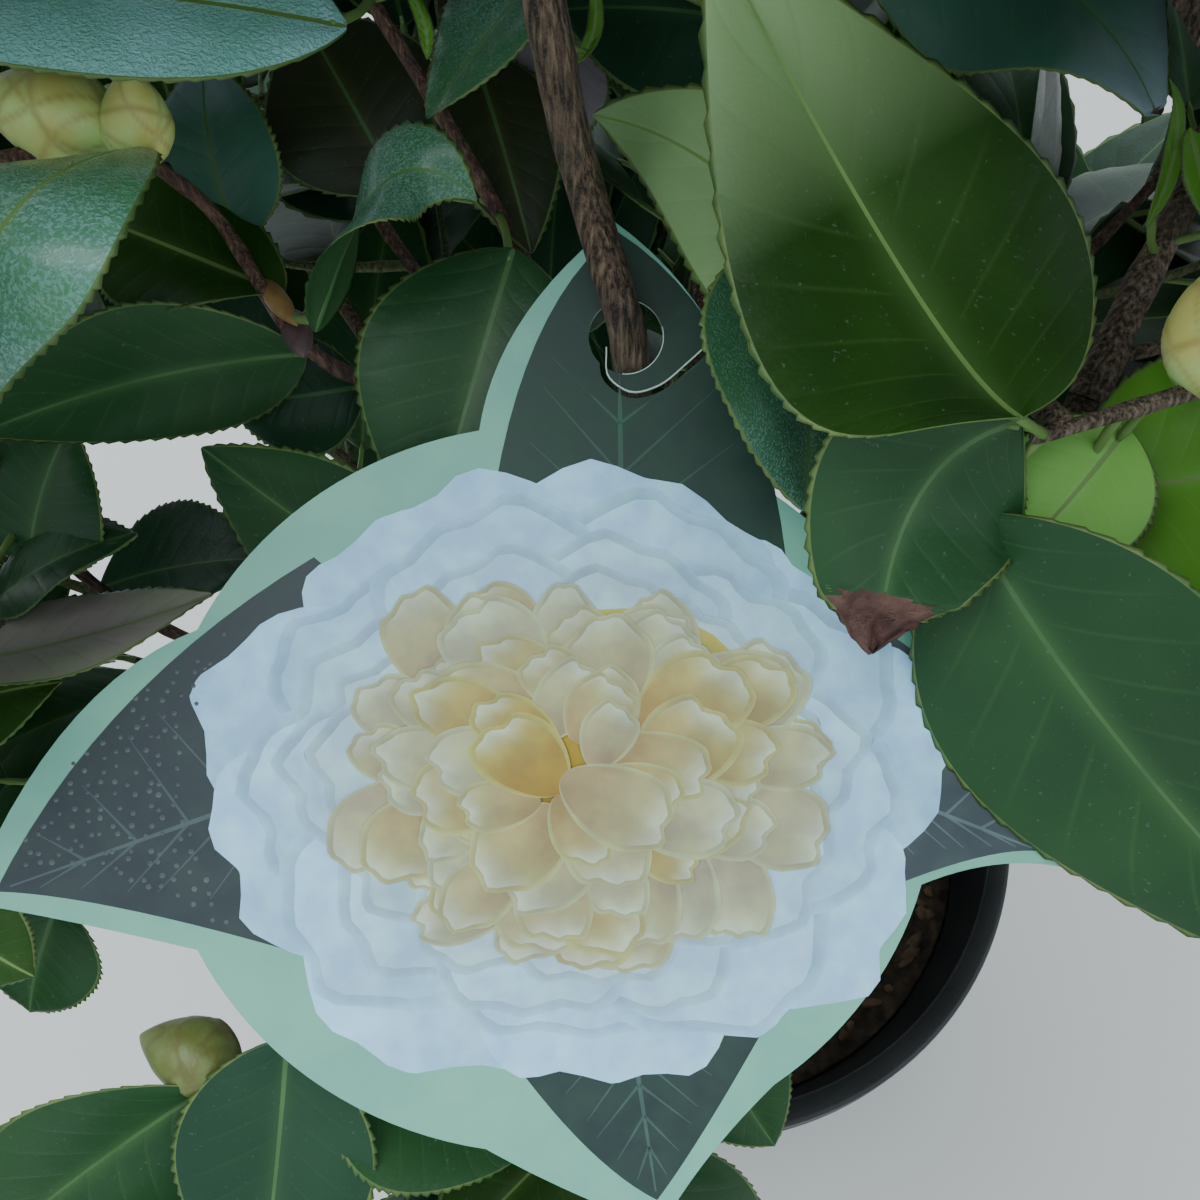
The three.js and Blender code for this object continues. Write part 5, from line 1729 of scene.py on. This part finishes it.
    def lay_out(self, mass: Mass) -> None:
        """Works out a mass's stems and the bough that runs in line into the first of them."""
        if mass.ways:
            ways = [self.label.world(np.array(points)) for points in mass.ways]
        else:
            start = vec(*mass.bough) if mass.bough else self.limbs.trunk_way.points[-1]
            ways = [self.sagging(start, vec(*mass.stem))]
        start = ways[0][0].copy()
        onward = unit(ways[0][1] - start)
        ways[0][0] = start + onward * self.gap
        for points in ways:
            stations = max(3, len(points) - 1)
            twig = Twig(Way(points), stations=stations)
            if mass.radius:
                twig.radius = mass.radius
            mass.twigs.append(twig)
        mass.home = mass.twigs[0].way.at(self.home_share)
        if mass.rise:
            origin = self.limbs.axis_at(mass.rise)
            lead = start - onward * self.limbs.lead * float(np.linalg.norm(start - origin))
            mass.bough_way = Way([*self.sagging(origin, lead), start])

    def sagging(self, start: Array, end: Array) -> Array:
        """The points of a limb that sags a little on its way."""
        middle = (start + end) / 2 - UP * self.limbs.sag * float(np.linalg.norm(end - start))
        return np.stack([start, middle, end])

    def make_leaf(
        self, root: Array, foot: Array, tip: Array, bow: float, middle: object = None, **rest: object
    ) -> Leaf:
        """A leaf whose midrib bows out of its face, or passes through a middle point."""
        half = (foot + tip) / 2
        leaf = Leaf(root, foot, half, tip, **rest)
        if middle is not None:
            leaf.bend = 2 * middle - half
        else:
            leaf.bend = half + leaf.frame(np.array([0.5]))[2][0] * 2 * bow
        return leaf

    def nearest(self, mass: Mass, point: Array) -> Array:
        """The nearest point on any twig of a mass."""
        places = np.array([twig.on(i / 40) for twig in mass.twigs for i in range(40)])
        return places[int(np.argmin(np.linalg.norm(places - point, axis=1)))]

    def place_by_hand(self, mass: Mass, m: int) -> None:
        """Sets the leaves and buds of the masses beside the label."""
        for k, given in enumerate(mass.leaf_list):
            values = dict(given)
            foot, tip = (self.label.world(values.pop(key)) for key in ("foot", "tip"))
            middle = values.pop("middle", None)
            leaf = self.make_leaf(
                self.nearest(mass, foot),
                foot,
                tip,
                values.pop("bow"),
                None if middle is None else self.label.world(middle),
                facing=self.label.facing(),
                near=True,
                seed=100 * m + k,
                **values,
            )
            mass.leaves.append(leaf)
            self.rooms.append(self.leaf_room(leaf))
        for bud in mass.bud_list:
            foot = self.nearest(mass, self.label.world(bud.foot))
            mass.buds.append(replace(bud, foot=foot, tip=self.label.world(bud.tip)))

    def grow_leaf(
        self, mass: Mass, twig: Twig, share: float, turn: float, splay: float, keys: tuple[int, ...]
    ) -> None:
        """Tries a leaf on a twig in several directions, and keeps the first that has room.

        Args:
            mass: The mass it belongs to.
            twig: The twig that carries it.
            share: Where along the twig it stands.
            turn: Its turn round the twig.
            splay: Its angle away from the twig.
            keys: The whole numbers that name its chances.
        """
        root = twig.on(share)
        axis = twig.way.tangent(share)
        for attempt in range(self.tries):
            swing = math.radians(between(-self.leaf_swing_deg, self.leaf_swing_deg, *keys, attempt, 1))
            lean = math.radians(between(*self.lean_deg, *keys, attempt, 2))
            direction = unit(splayed(axis, turn + swing, splay + lean) + UP * self.leaf_lift)
            length = between(*self.lengths, *keys, attempt, 3)
            foot = root + direction * self.stalk
            leaf = self.make_leaf(
                root,
                foot,
                foot + direction * length,
                self.bow,
                facing=unit(axis * 0.5 + UP),
                width=length * self.breadth,
                roll=between(-self.roll_deg, self.roll_deg, *keys, attempt, 4),
                look=self.spray_look(keys),
                seed=sum((k + 1) * key for k, key in enumerate(keys)),
            )
            centre, _, side, reach = self.probed(leaf)
            probes = np.concatenate([centre, centre + side * reach, centre - side * reach, leaf.tip[None]])
            if not self.allowed(probes, mass):
                continue
            room = self.leaf_room(leaf)
            if not self.free(room):
                continue
            mass.leaves.append(leaf)
            self.rooms.append(room)
            return

    def spray_look(self, keys: tuple[int, ...]) -> Look:
        """The look that a spray's leaves share: mostly deep green, some darker or lighter."""
        draw = chance(*keys[:3], 17)
        if draw < 0.45:
            return Look.DEEP
        if draw < 0.75:
            return Look.DARK
        return Look.MID if draw < 0.96 else Look.BRIGHT

    def grow_leaves(self, mass: Mass, twig: Twig, keys: tuple[int, ...]) -> None:
        """Leaves in a spiral along a twig, and a cluster at its end."""
        low, high = self.leaf_shares
        count = int(twig.way.length * (high - low) / self.leaf_spacing)
        splay = math.radians(self.leaf_splay_deg)
        for i in range(count + 1):
            share = low + i * self.leaf_spacing / twig.way.length
            self.grow_leaf(mass, twig, share, i * math.radians(SPIRAL_DEG), splay, (*keys, i))
        for i in range(self.cluster_leaves):
            turn = i * 2 * math.pi / self.cluster_leaves + math.radians(self.cluster_turn_deg)
            splay = math.radians(self.cluster_splay_deg)
            self.grow_leaf(mass, twig, self.cluster_at, turn, splay, (*keys, 50 + i))

    def grow_bud(self, mass: Mass, twig: Twig, keys: tuple[int, ...]) -> None:
        """A bud at a twig's end, on some twigs."""
        if chance(*keys, 90) > self.bud_share:
            return
        foot = twig.way.at(1.0)
        axis = unit(twig.way.tangent(1.0) + UP * self.bud_lift)
        tip = foot + axis * between(*self.bud_lengths, *keys, 91)
        if self.allowed(np.stack([foot, tip]), mass):
            mass.buds.append(Bud(foot, tip, between(*self.bud_radii, *keys, 92)))

    def grow_side_twigs(self, mass: Mass, stem: Twig, keys: tuple[int, ...]) -> None:
        """Side twigs round a stem, each with its own leaves."""
        for i in range(self.side_twigs):
            low, high = self.side_shares
            share = low + (high - low) * i / (self.side_twigs - 1)
            root, axis = stem.on(share), stem.way.tangent(share)
            for attempt in range(self.tries):
                swing = between(-self.side_swing_deg, self.side_swing_deg, *keys, 60 + i, attempt)
                turn = math.radians(i * SPIRAL_DEG + swing)
                direction = splayed(axis, turn, math.radians(self.side_splay_deg))
                length = between(*self.side_lengths, *keys, 70 + i, attempt)
                risen = unit(direction + UP * self.rise)
                middle = root + direction * length * 0.5
                points = np.stack([root, middle, middle + risen * length * 0.5])
                if not self.allowed(points[1:], mass):
                    continue
                twig = Twig(Way(points), *self.side_radii, stations=2)
                room = self.limb_room(twig.way, twig.radius, 0.2, 3)
                if not self.free(room):
                    continue
                self.rooms.append(room)
                before = len(mass.leaves)
                self.grow_leaves(mass, twig, (*keys, 80 + i))
                if len(mass.leaves) > before:
                    mass.twigs.append(twig)
                    self.grow_bud(mass, twig, (*keys, 80 + i))
                    break
                self.rooms.pop()

    def grow(self) -> None:
        """Grows the whole crown, then fills in more leaves where there is still room."""
        thick = float(self.limbs.radius_at(self.limbs.foot))
        self.rooms.append(self.limb_room(self.limbs.trunk_way, thick, 0, 8))
        for mass in self.masses:
            self.lay_out(mass)
        for m, mass in enumerate(self.masses):
            if mass.bough_way:
                self.rooms.append(self.limb_room(mass.bough_way, self.limbs.tip_radius, 0, 5))
            for twig in mass.twigs:
                self.rooms.append(self.limb_room(twig.way, twig.radius, 0, 3))
            self.place_by_hand(mass, m)
        for m, mass in enumerate(self.masses):
            for i, stem in enumerate(list(mass.twigs)):
                self.grow_leaves(mass, stem, (m, i))
                self.grow_side_twigs(mass, stem, (m, i))
                self.grow_bud(mass, stem, (m, i))
        grown = sum(len(mass.leaves) for mass in self.masses)
        for m, mass in enumerate(self.masses):
            for i, twig in enumerate(list(mass.twigs)):
                self.grow_leaves(mass, twig, (m, i, 200))
        total = sum(len(mass.leaves) for mass in self.masses)
        log.info("crown: %d leaves by the solids' rule, %d with the finer ones", grown, total)


@dataclass
class Foliage:
    """Turns a grown crown into leaves, twigs and buds."""

    crown: Crown
    near_columns: tuple[float, ...] = (0.38, 0.72)
    far_columns: tuple[float, ...] = (0.5,)
    near_teeth: int = 24
    far_teeth: int = 11
    tooth: float = 0.7
    blade: float = 0.3
    rib: float = 0.42
    margin: float = 0.35
    veins: float = 9.0
    swell: float = 0.09
    groove: float = 0.1
    keel: float = 0.55
    roll_under: float = 0.1
    waves: float = 1.6
    wave_heights: Pair = (0.3, 1.1)
    wither_drop: float = 30.0
    wither_curl: float = 1.4
    big_bud: float = 3.7

    def columns(self, leaf: Leaf, shares: Array, half: Array) -> Array:
        """Where a blade's points stand across it, row by row, from -1 at one edge to 1 at the other.

        Those beside the midrib and those inside the edges keep a distance in millimetres.
        """
        inner = np.array(self.near_columns if leaf.near else self.far_columns)
        rib = np.minimum(self.rib * (1 - 0.65 * shares) / half, 0.2)[:, None]
        margin = np.maximum(1 - self.margin / half, 0.8)[:, None]
        middle = np.broadcast_to(inner, (len(shares), len(inner)))
        right = np.concatenate([rib, middle, margin, np.ones_like(rib)], axis=1)
        return np.concatenate([-right[:, ::-1], right], axis=1)

    def leaf_skin(self, leaf: Leaf) -> Skin:
        """A leaf's blade and stalk.

        The blade is a loop of points round each cross-section: over the upper face from one edge to
        the other and back under it. Its height over the midrib is reach |a| sin(fold), less a roll
        under the edges by a^4, plus a swell between side veins and a slow wave along the edges. The
        edge moves out by a forward saw tooth.
        """
        teeth, steps = (self.near_teeth, 4) if leaf.near else (self.far_teeth, 3)
        shares = (np.arange(teeth * steps) + 0.5) / (teeth * steps)
        shares = np.concatenate([[0.002], shares, [0.998]])
        centre, tangent, face, side = leaf.frame(shares)
        half = leaf_outline(shares) * leaf.width / 2
        a = self.columns(leaf, shares, half)
        uneven = 0.75 + 0.5 * ((np.floor(shares * teeth) * 0.618 + 0.37 * leaf.seed) % 1)
        saw = ((shares * teeth) % 1) * uneven * self.tooth * (1.0 if leaf.near else 1.5)
        saw = saw * min(1.0, leaf.width / 15)
        saw = saw * np.clip(shares * 8, 0, 1) * np.clip((1 - shares) * 12, 0, 1)
        edge = (np.abs(a) == 1) * saw[:, None]
        reach = half[:, None] * a + np.sign(a) * edge
        fold = math.radians(leaf.fold)
        phase = 2 * math.pi * chance(leaf.seed, 5)
        wave = np.sin(2 * math.pi * self.waves * shares + phase)[:, None] * a**2
        wave = between(*self.wave_heights, leaf.seed, 6) * wave
        swell = self.swell * np.sin(np.pi * self.veins * (shares[:, None] - 0.2 * np.abs(a) ** 0.8)) ** 2
        swell = swell * (1 - np.abs(a)) * np.abs(a) * 4
        lift = np.abs(reach) * math.sin(fold) - self.roll_under * half[:, None] * a**4 + wave * 0.6
        past = np.maximum(shares - leaf.withered, 0)[:, None]
        centre = centre - tangent * past * 0.75 * np.linalg.norm(leaf.tip - leaf.foot)
        curl = self.wither_curl * np.sin(9 * a + 30 * past) * np.clip(past * 14, 0, 1)
        lift = lift - self.wither_drop * past**1.3 + curl
        taper = np.clip(half / 4, 0.15, 1)[:, None]
        beside = np.abs(reach) < 2 * self.rib
        groove = -self.groove * beside * taper
        keel = self.keel * beside * taper * (1 - 0.6 * shares[:, None])
        thick = self.blade * (1 - 0.6 * a**2)
        upper = lift + swell + groove + thick / 2
        under = lift + swell - thick / 2 - keel
        upper[:, [0, -1]] = under[:, [0, -1]] = lift[:, [0, -1]]
        across = side[:, None] * (reach * math.cos(fold))[..., None]
        top = centre[:, None] + across + face[:, None] * upper[..., None]
        bottom = centre[:, None] + across + face[:, None] * under[..., None]
        rings = np.concatenate([top[:, ::-1], bottom[:, 1:-1]], axis=1)
        map_across = np.concatenate([a[:, ::-1], a[:, 1:-1]], axis=1) / 2 + 0.5
        uv = np.stack(np.broadcast_arrays(map_across, shares[:, None]), axis=-1)
        blade = closed_skin(rings, self.leaf_slots(leaf, shares, a.shape[1]), uv)
        stalk_way = Way([leaf.root, (leaf.root + leaf.foot) / 2, leaf.foot + tangent[0] * 2.0])
        radii = np.array([0.8, 0.65, 0.6, 0.65, 0.4])
        slot = LEAF_PARTS.index(Side.PALE_MIDRIB)
        stalk = closed_skin(limb_rings(stalk_way, radii, 8 if leaf.near else 6), slot)
        return Skin.joined([blade, stalk])

    def leaf_slots(self, leaf: Leaf, shares: Array, count: int) -> Array:
        """The finish of each face of a blade, by row and column of its loop."""
        slot = LEAF_PARTS.index
        # Dewy and dark leaves take the darker underside, painted shade for undersides in shadow.
        below = {Look.DEWY: Side.DARK_UNDER, Look.DARK: Side.DARK_UNDER, Look.OLD: Look.OLD}
        upper = np.full(count - 1, slot(leaf.look))
        upper[[0, -1]] = slot(Side.EDGE)
        under = np.full(count - 1, slot(below.get(leaf.look, Side.UNDER)))
        rib = slot(Side.MIDRIB if leaf.look in DARK_RIBBED else Side.PALE_MIDRIB)
        upper[(count - 1) // 2] = under[(count - 1) // 2] = rib
        grid = np.tile(np.concatenate([upper, under]), (len(shares) - 1, 1))
        off = np.abs(np.linspace(-1, 1, count - 1))
        dead = shares[1:, None] > leaf.withered + 0.12 * np.concatenate([off, off]) ** 2
        grid[dead] = slot(Side.WITHERED)
        return grid

    def twig_skin(self, twig: Twig, slot: int, seed: int) -> Skin:
        """A round twig with a swelling at each leaf's place."""
        stations, sides = 8 + int(twig.way.length / 3), 9
        shares = np.linspace(0, 1, stations)
        radius = twig.radius + (twig.tip_radius - twig.radius) * shares
        spaces = shares * twig.way.length / self.crown.leaf_spacing
        nodes = 1 + 0.14 * np.exp(-(((spaces % 1) - 0.5) / 0.16) ** 2)
        rough = self.crown.limbs.relief(stations, sides, twig.way.length, seed)
        reach = (radius * nodes)[:, None] * (1 + 0.06 * (rough - 0.5))
        return closed_skin(limb_rings(twig.way, reach, sides), slot, limb_uv(stations, sides))

    def bud_skin(self, bud: Bud) -> Skin:
        """A bud of overlapping scales: an egg that steps in at each scale's rounded rim.

        Scale j stands a spiral's turn from the one below, and covers the shares below
        top(j) - 0.1 (angle from its middle) squared. A point stands out by how many scales cover it,
        and its tint is brown beside a rim.
        """
        near = bud.radius > self.big_bud
        rows, sides, scales = (64, 56, 7) if near else (16, 12, 5)
        axis = unit(bud.tip - bud.foot)
        way = Way([bud.foot - axis * 1.5, (bud.foot + bud.tip) / 2, bud.tip])
        shares = np.linspace(0.02, 0.995, rows)[:, None]
        turns = whole_turn(sides)[None, :]
        steps = np.zeros((rows, sides))
        rim = np.zeros((rows, sides))
        for j in range(scales):
            turn = j * math.radians(SPIRAL_DEG)
            offset = np.abs((turns - turn + math.pi) % (2 * math.pi) - math.pi)
            inside_by = 0.3 + 0.66 * (j + 1) / scales - 0.1 * offset**2 - shares
            steps += np.clip(inside_by / 0.02, 0, 1)
            rim = np.maximum(rim, np.exp(-(((inside_by - 0.012) / 0.03) ** 2)))
        reach = bud.radius * (np.sin(np.pi * shares**0.85) ** 0.75 * (0.93 + 0.024 * steps))
        tint = np.repeat((1 - 0.45 * rim.reshape(-1, 1)), 3, axis=1)
        slot = TONES.index(bud.tone)
        skin = closed_skin(limb_rings(way, np.maximum(reach, 0.05), sides), slot, limb_uv(rows, sides))
        skin.tint[: rows * sides] = tint
        return skin

    def build(self, shop: Workshop, bark: Material) -> None:
        """Makes the leaves by group, then the twigs, the buds and the boughs.

        Args:
            shop: The shared node groups.
            bark: The boughs' bark.
        """
        finishes = {**LEAF_FINISHES, **SIDE_FINISHES}
        materials = [finishes[key].make(key.value, shop) for key in LEAF_PARTS]
        masses = self.crown.masses
        for group in sorted({mass.group for mass in masses}):
            members = [mass for mass in masses if mass.group == group]
            skin = Skin.joined(self.leaf_skin(leaf) for mass in members for leaf in mass.leaves)
            nodes = [f"foliage_{mass.name}" for mass in members]
            lay_piece(skin, f"leaves_{group}", materials, nodes)
        twigs = [
            self.twig_skin(twig, (2 if mass.radius else 1) if i < 1 + len(mass.ways) else 0, 7 * m + i)
            for m, mass in enumerate(masses)
            for i, twig in enumerate(mass.twigs)
        ]
        materials = [bark_finish.make(name, shop) for name, bark_finish in TWIG_BARKS.items()]
        lay_piece(Skin.joined(twigs), "twigs", materials, [])
        skin = Skin.joined(self.bud_skin(bud) for mass in masses for bud in mass.buds)
        materials = [BUD_FINISHES[tone].make(tone.value, shop) for tone in TONES]
        lay_piece(skin, "buds", materials, [])
        limbs = self.crown.limbs
        boughs = [
            limbs.bough_skin(mass.bough_way, mass.rise, mass.radius or limbs.tip_radius, 60 + m)
            for m, mass in enumerate(masses)
            if mass.bough_way
        ]
        nodes = [f"bough_{mass.name}" for mass in masses if mass.bough_way]
        lay_piece(Skin.joined(boughs), "boughs", [bark], nodes)


@dataclass
class Studio:
    """A pale floor, soft lights, and a camera that looks down on the label as the photograph does."""

    distance: float = 168.0
    floor_size: float = 9000.0

    def build_camera(self, label: Label) -> None:
        """Sets the camera square over the label, at the photograph's angle of view."""
        data = bpy.data.cameras.new("camera")
        data.lens = 36.0
        data.sensor_width = 36.0
        data.clip_start = 0.005
        camera = bpy.data.objects.new("camera", data)
        camera.location = label.world(vec(0, 0, self.distance)) * MM
        camera.rotation_euler = (math.radians(label.tilt_deg), 0.0, 0.0)
        bpy.context.scene.collection.objects.link(camera)
        bpy.context.scene.camera = camera

    def build_floor(self, shop: Workshop) -> None:
        """Lays the floor at the pot's foot."""
        half = self.floor_size / 2
        corners = np.array([(-half, -half, 0), (half, -half, 0), (half, half, 0), (-half, half, 0)], float)
        finish = PlainFinish((0.62, 0.61, 0.59), (0.64, 0.63, 0.61), 0.8, 3.0, 40.0, 0.0)
        skin = Skin(corners, quads=np.array([[0, 1, 2, 3]]))
        floor = skin.to_object("floor", [finish.make("pale floor", shop)])

    def build_lights(self) -> None:
        """Hangs three large soft lights and a pale sky."""
        for name, place, size, power in (
            ("key", (-0.9, -0.3, 2.4), 1.8, 36.0),
            ("fill", (1.6, -1.0, 1.6), 1.8, 9.0),
            ("back", (-0.7, 1.5, 2.1), 1.6, 26.0),
        ):
            data = bpy.data.lights.new(name, "AREA")
            data.shape = "DISK"
            data.size = size
            data.energy = power
            data.color = (0.90, 0.97, 1.0)
            light = bpy.data.objects.new(name, data)
            light.location = place
            aim = Vector((0.0, 0.0, 0.36)) - Vector(place)
            light.rotation_euler = aim.to_track_quat("-Z", "Y").to_euler()
            bpy.context.scene.collection.objects.link(light)
        world = bpy.data.worlds.new("sky")
        world.use_nodes = True
        background = world.node_tree.nodes["Background"]
        background.inputs[0].default_value = (0.80, 0.92, 1.0, 1.0)
        background.inputs[1].default_value = 0.95
        bpy.context.scene.world = world


def main() -> None:
    """Dresses the frame: camera, stage, pot, label, stems and foliage."""
    logging.basicConfig(level=logging.INFO, format="%(message)s")
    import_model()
    shop = Workshop()
    label, limbs, pot = Label(), Limbs(), Pot()
    studio = Studio()
    studio.build_camera(label)
    studio.build_floor(shop)
    studio.build_lights()
    log.info("pot: %s", pot.build_tub(shop).name)
    log.info("compost: %s", pot.build_compost(shop).name)
    bark = BarkFinish((0.1, 0.062, 0.038), (0.02, 0.012, 0.008), (0.2, 0.14, 0.09))
    bark = bark.make("stem bark", shop)
    log.info("stem: %s", limbs.build_trunk(bark).name)
    log.info("label: %s", label.build(shop).name)
    crown = Crown(label, limbs, pot)
    crown.grow()
    Foliage(crown).build(shop, bark)


if __name__ == "__main__":
    main()
